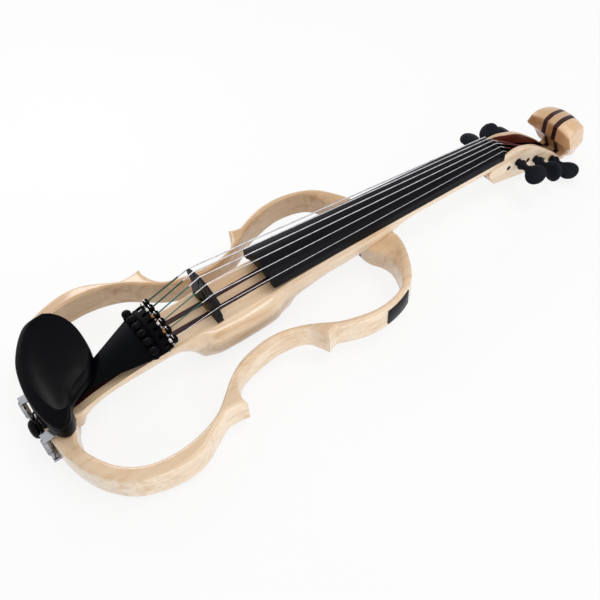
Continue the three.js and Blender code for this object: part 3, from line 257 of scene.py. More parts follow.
# Shader building.
class Value:
    """A node's output, with the arithmetic that shader maths needs."""

    def __init__(self, shade, socket):
        self.shade = shade
        self.socket = socket

    def _maths(self, operation, first, second):
        return self.shade.node(
            "ShaderNodeMath", {"operation": operation}, {0: first, 1: second}
        )

    def __add__(self, other):
        return self._maths("ADD", self, other)

    __radd__ = __add__

    def __sub__(self, other):
        return self._maths("SUBTRACT", self, other)

    def __rsub__(self, other):
        return self._maths("SUBTRACT", other, self)

    def __mul__(self, other):
        return self._maths("MULTIPLY", self, other)

    __rmul__ = __mul__

    def __truediv__(self, other):
        return self._maths("DIVIDE", self, other)

    def __pow__(self, other):
        return self._maths("POWER", self, other)

    def __gt__(self, other):
        return self._maths("GREATER_THAN", self, other)

    def __lt__(self, other):
        return self._maths("LESS_THAN", self, other)

    def __abs__(self):
        return self._maths("ABSOLUTE", self, 0)


class Shade:
    """A material, or the world's look, under construction."""

    def __init__(self, name, world=None):
        self.material = world or bpy.data.materials.new(name)
        self.material.use_nodes = True
        self.tree = self.material.node_tree
        self.tree.nodes.clear()

    def node(self, kind, settings=None, inputs=None, output=0):
        made = self.tree.nodes.new(kind)
        for key, value in (settings or {}).items():
            if key == "stops":
                ramp = made.color_ramp
                while len(ramp.elements) < len(value):
                    ramp.elements.new(0.5)
                for element, (place, colour) in zip(ramp.elements, value):
                    element.position = place
                    element.color = colour
            else:
                setattr(made, key, value)
        for key, value in (inputs or {}).items():
            if isinstance(value, Value):
                self.tree.links.new(value.socket, made.inputs[key])
            else:
                made.inputs[key].default_value = value
        return Value(self, made.outputs[output]) if made.outputs else None

    def place(self, scale=(1, 1, 1), shift=(0, 0, 0)):
        at = self.node("ShaderNodeTexCoord", output="Object")
        inputs = {"Vector": at, "Scale": scale, "Location": shift}
        return self.node("ShaderNodeMapping", inputs=inputs)

    def axes(self):
        at = self.node("ShaderNodeTexCoord", output="Object")
        split = self.tree.nodes.new("ShaderNodeSeparateXYZ")
        self.tree.links.new(at.socket, split.inputs[0])
        return [Value(self, out) for out in split.outputs]

    def noise(self, where, scale=1.0, detail=4.0, rough=0.55, twist=0.0):
        inputs = {"Vector": where, "Scale": scale, "Detail": detail, "Roughness": rough,
                  "Distortion": twist}
        return self.node("ShaderNodeTexNoise", inputs=inputs)

    def ramp(self, factor, *stops):
        return self.node("ShaderNodeValToRGB", {"stops": stops}, {0: factor})

    def span(self, value, low, high, to_low=0.0, to_high=1.0):
        inputs = {0: value, 1: low, 2: high, 3: to_low, 4: to_high}
        return self.node("ShaderNodeMapRange", {"clamp": True}, inputs)

    def mix(self, factor, first, second):
        settings = {"data_type": "RGBA", "clamp_factor": True}
        return self.node("ShaderNodeMix", settings, {0: factor, 6: first, 7: second}, 2)

    def bump(self, height, strength, distance):
        inputs = {"Height": height, "Strength": strength, "Distance": distance}
        return self.node("ShaderNodeBump", inputs=inputs)

    def surface(self, **sockets):
        inputs = {key.replace("_", " "): value for key, value in sockets.items()}
        shader = self.node("ShaderNodeBsdfPrincipled", inputs=inputs)
        self.node("ShaderNodeOutputMaterial", inputs={"Surface": shader})
        return self.material

    def white_rays(self):
        """1 for the rays that should meet a white background, else 0."""
        sight = self.tree.nodes.new("ShaderNodeLightPath")
        return sum(Value(self, sight.outputs[f"Is {kind} Ray"]) for kind in RAYS_TO_WHITE)


def shaded(tone, *shares):
    """Screen colour scaled by one share, or channel by channel by three."""
    return [min(255, c * k) for c, k in zip(tone, shares * (3 // len(shares)))]


def tinted(tone, *shares):
    """The same, as the shader's linear values."""
    return srgb(*shaded(tone, *shares))


def pegbox_wall(s):
    """Share of 1 on the walls and the floor of the pegbox's well, where the wood is stained."""
    x, y, z = s.axes()
    start, drop = NUT_HI.x, HEAD_DROP / (HEAD_END - NUT_X)
    half = s.span(x, start, start + (HEAD_END - NUT_X) / 4, CAVITY_NUT_HALF, CAVITY_HALF)
    across = abs(y) < half + 0.35 * MM
    along = (x > start) * (x < SCROLL_FRONT - 2 * MM)
    above = z > (NUT_X - x) * drop + 2 * MM
    return across * along * above


def stained(s, wood, grain):
    red = s.ramp(grain, (0.3, srgb(62, 22, 16)), (0.7, srgb(124, 50, 32)))
    return s.mix(pegbox_wall(s), wood, red)


def maple_finish(name, shares, shift):
    """Maple under clear gloss lacquer: brown grain, pores, a faint figure, a darker tan over the
    scroll; painted shade on upward faces, and on the head's faces turned to the tail, where darker
    end grain is mixed in.
    """
    s = Shade(name)
    tone = shaded([c * 255 for c in bpy.context.scene.violin_wood.tone], *shares)
    grain = s.noise(s.place((8, 120, 90), shift), 1.0, 6.0, 0.62, 0.9)
    band = s.noise(s.place((4, 34, 26), shift), 1.0, 3.0, 0.5, 1.4)
    fine = s.noise(s.place((26, 900, 620), shift), 1.0, 3.0, 0.6)
    figure = s.noise(s.place((75, 16, 20), shift), 1.0, 3.0, 0.5, 1.2)
    wood = s.ramp(grain, (0.3, tinted(tone, 0.88, 0.8, 0.68)), (0.5, tinted(tone, 1)),
                  (0.72, tinted(tone, 1.03, 1.04, 1.05)))
    wood = s.mix(s.span(fine, 0.5, 0.72, 0.0, 0.4), wood, tinted(tone, 0.8, 0.7, 0.56))
    wood = s.mix(s.span(band, 0.5, 0.72, 0.0, 0.55), wood, tinted(tone, 0.88, 0.78, 0.64))
    wood = s.mix(s.span(figure, 0.48, 0.75, 0.0, 0.2), wood, tinted(tone, 1.06, 1.1, 1.16))
    # Painted shade: faces that turn upwards are mixed towards a darker tan.
    normal = s.node("ShaderNodeNewGeometry", output="Normal")
    upward = s.node("ShaderNodeSeparateXYZ", inputs={0: normal}, output="Z")
    wood = s.mix(s.span(upward, 0.25, 0.9, 0.0, 0.5), wood, tinted(tone, 0.9, 0.8, 0.67))
    backward = s.node("ShaderNodeSeparateXYZ", inputs={0: normal}, output="X")
    along = s.axes()[0]
    wood = s.mix((along > SCROLL_FRONT - 12 * MM) * 0.45, wood, tinted(tone, 0.92, 0.8, 0.66))
    # Partly darker end grain, partly painted shade: on the head, only faces turned towards the tail
    # are browned.
    end_grain_and_shade = s.span(backward, -0.85, -0.4, 0.75, 0.0) * (along > NUT_X - 26 * MM)
    wood = s.mix(end_grain_and_shade, wood, tinted(tone, 0.8, 0.62, 0.45))
    wood = stained(s, wood, grain)
    rough = s.span(grain, 0.3, 0.7, 0.28, 0.38)
    return s.surface(Base_Color=wood, Roughness=rough, Normal=s.bump(fine, 0.06, 0.0003),
                     Coat_Weight=0.6, Coat_Roughness=0.07)


def dark_wood_finish():
    """Dark lamination wood under the same lacquer."""
    s = Shade("dark lamination wood")
    grain = s.noise(s.place((10, 160, 120)), 1.0, 6.0, 0.65, 0.5)
    fine = s.noise(s.place((40, 1100, 800)), 1.0, 3.0, 0.6)
    wood = s.ramp(grain, (0.3, srgb(36, 17, 18)), (0.55, srgb(56, 27, 26)),
                  (0.75, srgb(78, 40, 35)))
    wood = s.mix(s.span(fine, 0.5, 0.75, 0.0, 0.5), wood, srgb(28, 13, 12))
    wood = stained(s, wood, grain)
    rough = s.span(grain, 0.3, 0.7, 0.3, 0.42)
    return s.surface(Base_Color=wood, Roughness=rough, Normal=s.bump(fine, 0.06, 0.0003),
                     Specular_IOR_Level=0.12, Coat_Weight=0.15, Coat_Roughness=0.08)


def ebony_finish(name, tone, gloss):
    """Dark close-grained wood, oiled to a satin sheen."""
    s = Shade(name)
    grain = s.noise(s.place((14, 260, 260)), 1.0, 5.0, 0.65)
    pores = s.noise(s.place((120, 2600, 2600)), 1.0, 2.0, 0.6)
    wood = s.ramp(grain, (0.3, tinted(tone, 0.72)), (0.6, srgb(*tone)),
                  (0.8, tinted(tone, 1.3)))
    rough = s.span(grain, 0.3, 0.75, gloss - 0.04, gloss + 0.05)
    return s.surface(Base_Color=wood, Roughness=rough, Normal=s.bump(pores, 0.1, 0.0002),
                     Specular_IOR_Level=0.045)


def moulded_finish(name, tone, gloss, texture, strength, coat=0.0, shine=0.035):
    """Moulded or lacquered black fitting with a fine skin and slight wear."""
    s = Shade(name)
    skin = s.noise(s.place((texture, texture, texture)), 1.0, 3.0, 0.6)
    wear = s.noise(s.place((55, 55, 55), (3, 1, 2)), 1.0, 4.0, 0.6)
    colour = s.ramp(wear, (0.35, tinted(tone, 0.88)), (0.7, tinted(tone, 1.14)))
    rough = s.span(wear, 0.35, 0.7, gloss - 0.02, gloss + 0.03)
    return s.surface(Base_Color=colour, Roughness=rough, Normal=s.bump(skin, strength, 0.0002),
                     Specular_IOR_Level=shine, Coat_Weight=coat, Coat_Roughness=0.12)


def metal_finish(name, tone, gloss, brushed=0.0):
    """Plated metal with faint polishing marks and smears, and a painted dark reflection that
    deepens towards its outline.
    """
    s = Shade(name)
    marks = s.noise(s.place((90, 900, 1600)), 1.0, 3.0, 0.7)
    smear = s.noise(s.place((60, 60, 60)), 1.0, 3.0, 0.5)
    colour = s.ramp(smear, (0.3, tinted(tone, 0.88)), (0.7, srgb(*tone)))
    # Painted reflection: the colour darkens where the surface turns away from view, as if dark
    # surroundings were mirrored there.
    edge = s.node("ShaderNodeLayerWeight", inputs={"Blend": 0.5}, output="Facing")
    colour = s.mix(s.span(edge, 0.35, 0.8, 0.0, 0.75), colour, tinted(tone, 0.28))
    rough = s.span(marks, 0.3, 0.7, gloss, gloss + 0.08 + brushed)
    return s.surface(Base_Color=colour, Metallic=1.0, Roughness=rough,
                     Normal=s.bump(marks, 0.05 + brushed, 0.0001))


def string_finish(name, wrap):
    """Wound string: fine turns of flat wire round the core."""
    s = Shade(name)
    x, _, _ = s.axes()
    turns = s.node("ShaderNodeMath", {"operation": "SINE"}, {0: x * (2 * math.pi / wrap)})
    tint = s.noise(s.place((160, 160, 160)), 1.0, 2.0, 0.5)
    colour = s.ramp(tint, (0.3, srgb(170, 171, 177)), (0.7, srgb(206, 207, 212)))
    return s.surface(Base_Color=colour, Metallic=0.9, Roughness=s.span(turns, -1, 1, 0.42, 0.5))


def silk_finish(name, tone):
    """Coloured thread wound round the end of a string."""
    s = Shade(name)
    x, y, z = s.axes()
    turns = s.node("ShaderNodeMath", {"operation": "SINE"}, {0: (x + y + z) * 16000})
    fuzz = s.noise(s.place((1500, 1500, 1500)), 1.0, 2.0, 0.6)
    colour = s.ramp(fuzz, (0.3, tinted(tone, 0.6)), (0.7, tinted(tone, 1.2)))
    return s.surface(Base_Color=colour, Roughness=s.span(fuzz, 0.3, 0.7, 0.5, 0.75),
                     Normal=s.bump(turns, 0.4, 0.00006))


def cork_finish():
    """Pressed cork with dark and pale granules."""
    s = Shade("pressed cork")
    where = s.place((650, 650, 650))
    cells = s.node("ShaderNodeTexVoronoi", inputs={"Vector": where, "Scale": 1.0}, output="Color")
    grey = s.node("ShaderNodeRGBToBW", inputs={0: cells})
    colour = s.ramp(grey, (0.2, srgb(92, 56, 32)), (0.5, srgb(158, 108, 66)),
                    (0.8, srgb(196, 150, 102)))
    return s.surface(Base_Color=colour, Roughness=s.span(grey, 0.2, 0.8, 0.75, 0.95),
                     Normal=s.bump(grey, 0.5, 0.0003))


def circuit_finish():
    """Green circuit board with copper tracks under the mask."""
    s = Shade("circuit board")
    where = s.place((420, 420, 420))
    lines = s.node("ShaderNodeTexBrick", {"offset": 0.5}, {
        "Vector": where, "Scale": 1.0, "Mortar Size": 0.06, "Color1": srgb(20, 84, 52),
        "Color2": srgb(24, 96, 60), "Mortar": srgb(60, 140, 90)})
    tint = s.noise(s.place((300, 300, 300)), 1.0, 2.0, 0.5)
    return s.surface(Base_Color=lines, Roughness=s.span(tint, 0.3, 0.7, 0.3, 0.5))


# Each finish by its short name: the function that builds it, and what that is given.
FINISHES = {
    # The three maple finishes are one wood in lit and shaded copies: the centre and the bass side
    # are dimmed and warmed as painted shade, and the treble side keeps the tone, a little cooler.
    "maple_centre": (maple_finish, "maple of the centre", (0.89, 0.87, 0.87), (0, 0, 0)),
    "maple_bass": (maple_finish, "maple of the bass side", (0.91, 0.87, 0.83), (3, 5, 1)),
    "maple_treble": (maple_finish, "maple of the treble side", (1, 1.01, 1.05), (7, 2, 4)),
    "dark_wood": (dark_wood_finish,),
    "board": (ebony_finish, "satin ebony board", (19, 17, 21), 0.34),
    "ebony": (ebony_finish, "polished ebony", (18, 18, 21), 0.28),
    "peg": (ebony_finish, "satin peg wood", (26, 28, 35), 0.4),
    "chin": (moulded_finish, "chin rest lacquer", (4, 4, 7), 0.3, 1800, 0.01, 0.0, 0.05),
    "tail": (moulded_finish, "tailpiece moulding", (5, 6, 9), 0.28, 2600, 0.03),
    "screw": (moulded_finish, "black tuner screw", (8, 8, 11), 0.24, 3000, 0.03),
    "bridge": (moulded_finish, "bridge moulding", (32, 35, 38), 0.34, 1400, 0.08),
    "plastic": (moulded_finish, "matt black moulding", (30, 31, 34), 0.5, 3600, 0.25),
    "label": (moulded_finish, "bare label plate", (44, 42, 45), 0.3, 1600, 0.03),
    "gut": (moulded_finish, "tail cord", (20, 20, 22), 0.45, 4200, 0.3),
    "chrome": (metal_finish, "polished chrome", (178, 180, 186), 0.1),
    "nickel": (metal_finish, "satin nickel", (206, 204, 198), 0.2, 0.05),
    "brass": (metal_finish, "turned brass", (150, 106, 62), 0.3, 0.04),
    "brass_dull": (metal_finish, "dull brass", (92, 74, 48), 0.45, 0.04),
    "string": (string_finish, "wound steel string", 0.4 * MM),
    "silk_green": (silk_finish, "dark green silk", (18, 74, 52)),
    "silk_red": (silk_finish, "dark red silk", (104, 40, 34)),
    "silk_teal": (silk_finish, "teal silk", (22, 104, 92)),
    "cork": (cork_finish,),
    "battery": (moulded_finish, "battery wrap", (62, 64, 70), 0.35, 900, 0.04, 0.2),
    "circuit": (circuit_finish,),
}
finishes_made = {}


def finish_for(name):
    """The finish of this short name, built when it is first asked for."""
    if name not in finishes_made:
        build, *given = FINISHES[name]
        finishes_made[name] = build(*given)
    return finishes_made[name]


# Mesh building.
def in_scene(name, data):
    """Object that holds a mesh, a lamp or a camera, in the scene."""
    made = bpy.data.objects.new(name, data)
    bpy.context.scene.collection.objects.link(made)
    return made


def new_piece(name, points, faces):
    """Object made of points in metres; doubled points are joined and faces turned outwards."""
    mesh = bpy.data.meshes.new(name)
    mesh.from_pydata([tuple(p) for p in points], [], [tuple(f) for f in faces])
    work = bmesh.new()
    work.from_mesh(mesh)
    bmesh.ops.remove_doubles(work, verts=work.verts, dist=WELD)
    bmesh.ops.recalc_face_normals(work, faces=work.faces)
    work.to_mesh(mesh)
    work.free()
    return in_scene(name, mesh)


def settle(piece):
    """Applies every modifier of a piece to its mesh."""
    bpy.context.view_layer.update()
    evaluated = piece.evaluated_get(bpy.context.evaluated_depsgraph_get())
    mesh = bpy.data.meshes.new_from_object(evaluated)
    piece.modifiers.clear()
    old = piece.data
    piece.data = mesh
    bpy.data.meshes.remove(old)
    return piece


def rounded(piece, width, segments=3, angle=35):
    """Rounds the edges that are sharper than an angle."""
    bevel = piece.modifiers.new("edges", "BEVEL")
    bevel.width = width
    bevel.segments = segments
    bevel.limit_method = "ANGLE"
    bevel.angle_limit = math.radians(angle)
    bevel.use_clamp_overlap = True
    return settle(piece)


def carve(piece, tool, operation="DIFFERENCE"):
    """Cuts a piece with another, which is used up."""
    cut = piece.modifiers.new("cut", "BOOLEAN")
    cut.operation = operation
    cut.solver = "EXACT"
    cut.object = tool
    settle(piece)
    bpy.data.objects.remove(tool)
    return piece


def hand_over(piece, body, slot, finish, nodes=(), angle=38):
    """Gives a finished piece its shading, material and body, and hides the frame nodes it stands
    for; the slot is not used.
    """
    mesh = piece.data
    mesh.shade_smooth()
    mesh.set_sharp_from_angle(angle=math.radians(angle))
    mesh.materials.clear()
    mesh.materials.append(finish_for(finish))
    for face in mesh.polygons:
        face.material_index = 0
    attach(piece, body)
    if nodes:
        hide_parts(*nodes)
    return piece


def cad_copy(node, name):
    """Welded copy of a frame solid with its flat faces whole."""
    mesh = frame["nodes"][node].data.copy()
    if "custom_normal" in mesh.attributes:
        mesh.attributes.remove(mesh.attributes["custom_normal"])
    work = bmesh.new()
    work.from_mesh(mesh)
    bmesh.ops.remove_doubles(work, verts=work.verts, dist=WELD)
    bmesh.ops.dissolve_limit(
        work, angle_limit=math.radians(1), verts=work.verts, edges=work.edges
    )
    work.to_mesh(mesh)
    work.free()
    return in_scene(name, mesh)


def dressed(node, body, slot, finish, width=0.3 * MM, segments=2, angle=35):
    """Frame solid with rounded edges and its finish."""
    piece = rounded(cad_copy(node, node + "_finished"), width, segments, angle)
    return hand_over(piece, body, slot, finish, (node,))


def loft(name, rings, capped=True):
    """Skin over rings that have the same number of points."""
    count = len(rings[0])
    points = [p for ring in rings for p in ring]
    faces = []
    for r in range(len(rings) - 1):
        for i in range(count):
            j = (i + 1) % count
            faces.append((r * count + i, r * count + j, (r + 1) * count + j, (r + 1) * count + i))
    if capped:
        for start in (0, (len(rings) - 1) * count):
            points.append(np.mean(np.array(points[start:start + count]), axis=0))
            hub = len(points) - 1
            for i in range(count):
                faces.append((hub, start + i, start + (i + 1) % count))
    return new_piece(name, points, faces)


def turned(name, profile, at, axis="z", steps=48):
    """Lathe work: profile of (radius, height) turned round an axis through a point.

    Its ends are capped, unless it closes on itself.
    """
    rings = []
    for radius, height in profile:
        ring = []
        for i in range(steps):
            turn = 2 * math.pi * i / steps
            side = (radius * math.cos(turn), radius * math.sin(turn))
            spots = {"z": (*side, height), "x": (height, *side), "y": (side[0], height, side[1])}
            ring.append(np.array(spots[axis]) + np.array(at))
        rings.append(ring)
    return loft(name, rings, capped=profile[0] != profile[-1])


def block(name, low, high):
    """Plain box between two corners, as raw material for further work."""
    x, y, z = zip(low, high)
    points = [(x[i], y[j], z[k]) for i in (0, 1) for j in (0, 1) for k in (0, 1)]
    faces = [(0, 1, 3, 2), (4, 6, 7, 5), (0, 4, 5, 1), (2, 3, 7, 6), (0, 2, 6, 4), (1, 5, 7, 3)]
    return new_piece(name, points, faces)


def block_at(name, spot, low, high):
    """Plain box between two corners given in millimetres from a spot."""
    return block(name, *(np.array(spot) + np.array(corner) * MM for corner in (low, high)))


def plate(name, outline, low, high, up="z"):
    """Outline raised between two places along an axis."""
    def spot(p, level):
        return {"z": (p[0], p[1], level), "y": (p[0], level, p[1]), "x": (level, p[0], p[1])}[up]
    count = len(outline)
    points = [spot(p, low) for p in outline] + [spot(p, high) for p in outline]
    faces = [tuple(range(count)), tuple(range(count, 2 * count))]
    faces += [(i, (i + 1) % count, count + (i + 1) % count, count + i) for i in range(count)]
    return new_piece(name, points, faces)


def smooth_run(rows, steps):
    """Smooth run through rows of numbers, each stretch cut into equal steps."""
    rows = np.array(rows, float)
    result = []
    for i in range(len(rows) - 1):
        before, start, end = rows[max(i - 1, 0)], rows[i], rows[i + 1]
        after = rows[min(i + 2, len(rows) - 1)]
        slope_in, slope_out, rise = (end - before) / 2, (after - start) / 2, end - start
        for s in range(steps):
            t = s / steps
            cubic = slope_in + slope_out - 2 * rise
            square = 3 * rise - 2 * slope_in - slope_out
            result.append(start + t * (slope_in + t * (square + t * cubic)))
    result.append(rows[-1])
    return result


def respaced(points, step, closed=False):
    """Points along a smooth run through others, at about equal steps."""
    points = [np.array(p, float) for p in points]
    run = points + [points[0]] if closed else points
    dense = np.array(smooth_run(run, 16))
    lengths = np.concatenate([[0], np.cumsum(np.linalg.norm(np.diff(dense, axis=0), axis=1))])
    count = max(3, int(round(lengths[-1] / step)))
    spots = np.linspace(0, lengths[-1], count + 1)
    result = np.stack([np.interp(spots, lengths, dense[:, k]) for k in range(dense.shape[1])], 1)
    return list(result[:-1] if closed else result)


def eased(ring, rounds):
    """Ring with its corners softened by averaging neighbours."""
    ring = np.array(ring)
    for _ in range(rounds):
        ring = (np.roll(ring, 1, 0) + 2 * ring + np.roll(ring, -1, 0)) / 4
    return ring


def tube(name, path, radius, sides=12):
    """Round tube along a path, its rings turned as little as possible."""
    path = np.array(path, float)
    along = np.gradient(path, axis=0)
    along /= np.linalg.norm(along, axis=1)[:, None]
    across = np.cross((0, 1, 0), along[0])
    rings = []
    for spot, direction in zip(path, along):
        across = across - direction * np.dot(across, direction)
        across /= np.linalg.norm(across)
        up = np.cross(direction, across)
        turns = 2 * math.pi * np.arange(sides) / sides
        ring = np.outer(np.cos(turns), across) + np.outer(np.sin(turns), up)
        rings.append(spot + radius * ring)
    return loft(name, rings)


def straight(start, end, shares):
    """Points between two others, at these shares of the way."""
    start, end = np.array(start), np.array(end)
    return [start + (end - start) * share for share in shares]


def axle(node):
    """Middle of a turned part's box, seen from above, and the part's radius."""
    low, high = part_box(node)
    return (low.x + high.x) / 2, (low.y + high.y) / 2, (high.y - low.y) / 2


# Geometry node trees.
class Tree:
    """A geometry node group under construction, with named inputs."""

    def __init__(self, name, inputs):
        self.group = bpy.data.node_groups.new(name, "GeometryNodeTree")
        self.sockets = {}
        for label, (kind, value) in inputs.items():
            socket = self.group.interface.new_socket(label, in_out="INPUT", socket_type=kind)
            if value is not None:
                socket.default_value = value
            self.sockets[label] = socket.identifier
        self.group.interface.new_socket(
            "Geometry", in_out="OUTPUT", socket_type="NodeSocketGeometry")
        self.inputs = self.group.nodes.new("NodeGroupInput")

    def node(self, kind, settings=None, inputs=None):
        made = self.group.nodes.new(kind)
        for key, value in (settings or {}).items():
            setattr(made, key, value)
        for key, value in (inputs or {}).items():
            if isinstance(value, bpy.types.NodeSocket):
                self.group.links.new(value, made.inputs[key])
            else:
                made.inputs[key].default_value = value
        return made

    def finish(self, geometry):
        real = self.node("GeometryNodeRealizeInstances", inputs={0: geometry})
        painted = self.node("GeometryNodeSetMaterial", inputs={
            0: real.outputs[0], "Material": self.inputs.outputs["Material"]})
        self.node("NodeGroupOutput", inputs={0: painted.outputs[0]})
        return self

    def build(self, name, values):
        """Plain object made by the tree with these inputs."""
        piece = in_scene(name, bpy.data.meshes.new(name))
        modifier = piece.modifiers.new("tree", "NODES")
        modifier.node_group = self.group
        for label, value in values.items():
            modifier[self.sockets[label]] = value
        return settle(piece)


def knurl_tree():
    """Ring of upright ribs round a turned head."""
    tree = Tree("knurled ring", {
        "Ribs": ("NodeSocketInt", 24), "Radius": ("NodeSocketFloat", 0.004),
        "Height": ("NodeSocketFloat", 0.003), "Rib Radius": ("NodeSocketFloat", 0.0004),
        "Centre": ("NodeSocketVector", None), "Material": ("NodeSocketMaterial", None),
    })
    given = tree.inputs.outputs
    circle = tree.node("GeometryNodeMeshCircle", {"fill_type": "NONE"}, {
        "Vertices": given["Ribs"], "Radius": given["Radius"]})
    rib = tree.node("GeometryNodeMeshCylinder", {"fill_type": "NGON"}, {
        "Vertices": 8, "Radius": given["Rib Radius"], "Depth": given["Height"]})
    ribs = tree.node("GeometryNodeInstanceOnPoints", inputs={
        "Points": circle.outputs["Mesh"], "Instance": rib.outputs["Mesh"]})
    moved = tree.node("GeometryNodeTransform", inputs={
        "Geometry": ribs.outputs[0], "Translation": given["Centre"]})
    return tree.finish(moved.outputs[0])


def screw_row_tree():
    """Domed screw heads with a cross recess, set out on a grid on a flat back."""
    tree = Tree("panel screws", {
        "Length": ("NodeSocketFloat", 0.08), "Width": ("NodeSocketFloat", 0.02),
        "Columns": ("NodeSocketInt", 3), "Rows": ("NodeSocketInt", 2),
        "Head Radius": ("NodeSocketFloat", 0.0013), "Centre": ("NodeSocketVector", None),
        "Material": ("NodeSocketMaterial", None),
    })
    given = tree.inputs.outputs
    grid = tree.node("GeometryNodeMeshGrid", inputs={
        "Size X": given["Length"], "Size Y": given["Width"], "Vertices X": given["Columns"],
        "Vertices Y": given["Rows"]})
    head = tree.node("GeometryNodeMeshUVSphere", inputs={
        "Segments": 20, "Rings": 6, "Radius": given["Head Radius"]})
    dome = tree.node("GeometryNodeTransform", inputs={
        "Geometry": head.outputs["Mesh"], "Scale": (1, 1, 0.45)})
    arm = tree.node("GeometryNodeMeshCube", inputs={"Size": (0.0017, 0.0003, 0.0012)})
    other = tree.node("GeometryNodeTransform", inputs={
        "Geometry": arm.outputs["Mesh"], "Rotation": (0, 0, math.pi / 2)})
    cut = dome.outputs[0]
    for shape in (arm.outputs["Mesh"], other.outputs[0]):
        low = tree.node("GeometryNodeTransform", inputs={
            "Geometry": shape, "Translation": (0, 0, -0.0008)})
        cut = tree.node("GeometryNodeMeshBoolean", {"operation": "DIFFERENCE"}, {
            "Mesh 1": cut, "Mesh 2": low.outputs[0]}).outputs["Mesh"]
    split = tree.node("GeometryNodeTriangulate", inputs={"Mesh": cut})
    heads = tree.node("GeometryNodeInstanceOnPoints", inputs={
        "Points": grid.outputs["Mesh"], "Instance": split.outputs["Mesh"]})
    moved = tree.node("GeometryNodeTransform", inputs={
        "Geometry": heads.outputs[0], "Translation": given["Centre"]})
    return tree.finish(moved.outputs[0])


# Wood body.
def board_share(x):
    return (x - BOARD_END) / (NUT_X - BOARD_END)


def board_under(x):
    return BOARD_END_UNDER + (NUT_UNDER - BOARD_END_UNDER) * board_share(x)


def board_half(x):
    return BOARD_END_HALF + (NUT_HALF - BOARD_END_HALF) * board_share(x)


def rim_edges():
    """Outer and inner edge of the bass rim, each from the tail to the neck, from the frame."""
    copy = cad_copy("bass_rim", "rim outline")
    work = bmesh.new()
    work.from_mesh(copy.data)
    work.normal_update()
    links = {}
    for edge in work.edges:
        if len(edge.link_faces) != 2 or min(v.co.z for v in edge.verts) < RIM_HEIGHT - 1e-5:
            continue
        tilts = sorted(abs(face.normal.z) for face in edge.link_faces)
        if tilts[0] > 0.5 or tilts[1] < 0.9:
            continue
        a, b = (tuple(round(c, 7) for c in v.co[:2]) for v in edge.verts)
        links.setdefault(a, []).append(b)
        links.setdefault(b, []).append(a)
    work.free()
    bpy.data.objects.remove(copy)
    start = max((p for p in links if p[0] < 0), key=lambda p: p[1])
    loop = [start, links[start][0]]
    while loop[-1] != start:
        ahead = [p for p in links[loop[-1]] if p != loop[-2]]
        loop.append(ahead[0])
    loop = loop[:-1]
    tail = min(loop, key=lambda p: abs(p[1] - BLOCK_HALF) + abs(p[0] - BODY_TAIL))
    at = loop.index(tail)
    loop = loop[at:] + loop[:at]
    if loop[1][1] < loop[0][1] + 1e-6:
        loop = [loop[0]] + loop[:0:-1]
    ends = sorted((p for p in loop if p[0] > 0.1), key=lambda p: p[1])[:2]
    far = max(ends, key=lambda p: p[0])
    turn = loop.index(far)
    outer, inner = loop[:turn + 1], loop[turn + 1:][::-1]
    return outer, inner


def with_corners(points, step, corner=34):
    """Smooth run that keeps the outline's real corners."""
    cuts = [0]
    for i in range(1, len(points) - 1):
        before = np.array(points[i]) - np.array(points[i - 1])
        after = np.array(points[i + 1]) - np.array(points[i])
        turn = math.degrees(math.acos(np.clip(np.dot(before, after) / (
            np.linalg.norm(before) * np.linalg.norm(after)), -1, 1)))
        if turn > corner:
            cuts.append(i)
    cuts.append(len(points) - 1)
    result = []
    for start, end in zip(cuts, cuts[1:]):
        part = points[start:end + 1]
        run = respaced(part, step) if len(part) > 2 else [np.array(p) for p in part]
        result += run if not result else run[1:]
    return result


def inset(loop, amount):
    """Closed loop moved to its left by an amount, with mitred corners."""
    loop = np.array(loop)
    before = loop - np.roll(loop, 1, 0)
    after = np.roll(loop, -1, 0) - loop
    before /= np.linalg.norm(before, axis=1)[:, None]
    after /= np.linalg.norm(after, axis=1)[:, None]
    normals = np.stack([-(before + after)[:, 1], (before + after)[:, 0]], 1)
    lengths = np.linalg.norm(normals, axis=1)[:, None]
    normals = normals / np.maximum(lengths, 1e-9)
    stretch = np.minimum(1.6, 2 / np.maximum(lengths, 0.8))
    return loop + normals * amount * stretch


def edge_distance(points, loops):
    """Distance of each point from the nearest side of some closed loops."""
    nearest = np.full(len(points), np.inf)
    for loop in loops:
        starts = np.array(loop)
        for start, side in zip(starts, np.roll(starts, -1, 0) - starts):
            along = np.clip((points - start) @ side / (side @ side), 0, 1)
            gap = np.linalg.norm(points - start - along[:, None] * side, axis=1)
            nearest = np.minimum(nearest, gap)
    return nearest


def within(points, loop):
    """Which points lie inside a closed loop."""
    odd = np.zeros(len(points), bool)
    corners = np.array(loop)
    for (x0, y0), (x1, y1) in zip(corners, np.roll(corners, -1, 0)):
        if y0 != y1:
            crossed = (points[:, 1] < y0) != (points[:, 1] < y1)
            odd ^= crossed & (points[:, 0] < x0 + (points[:, 1] - y0) / (y1 - y0) * (x1 - x0))
    return odd


def smoothstep(values, low, high):
    share = np.clip((values - low) / (high - low), 0, 1)
    return share * share * (3 - 2 * share)


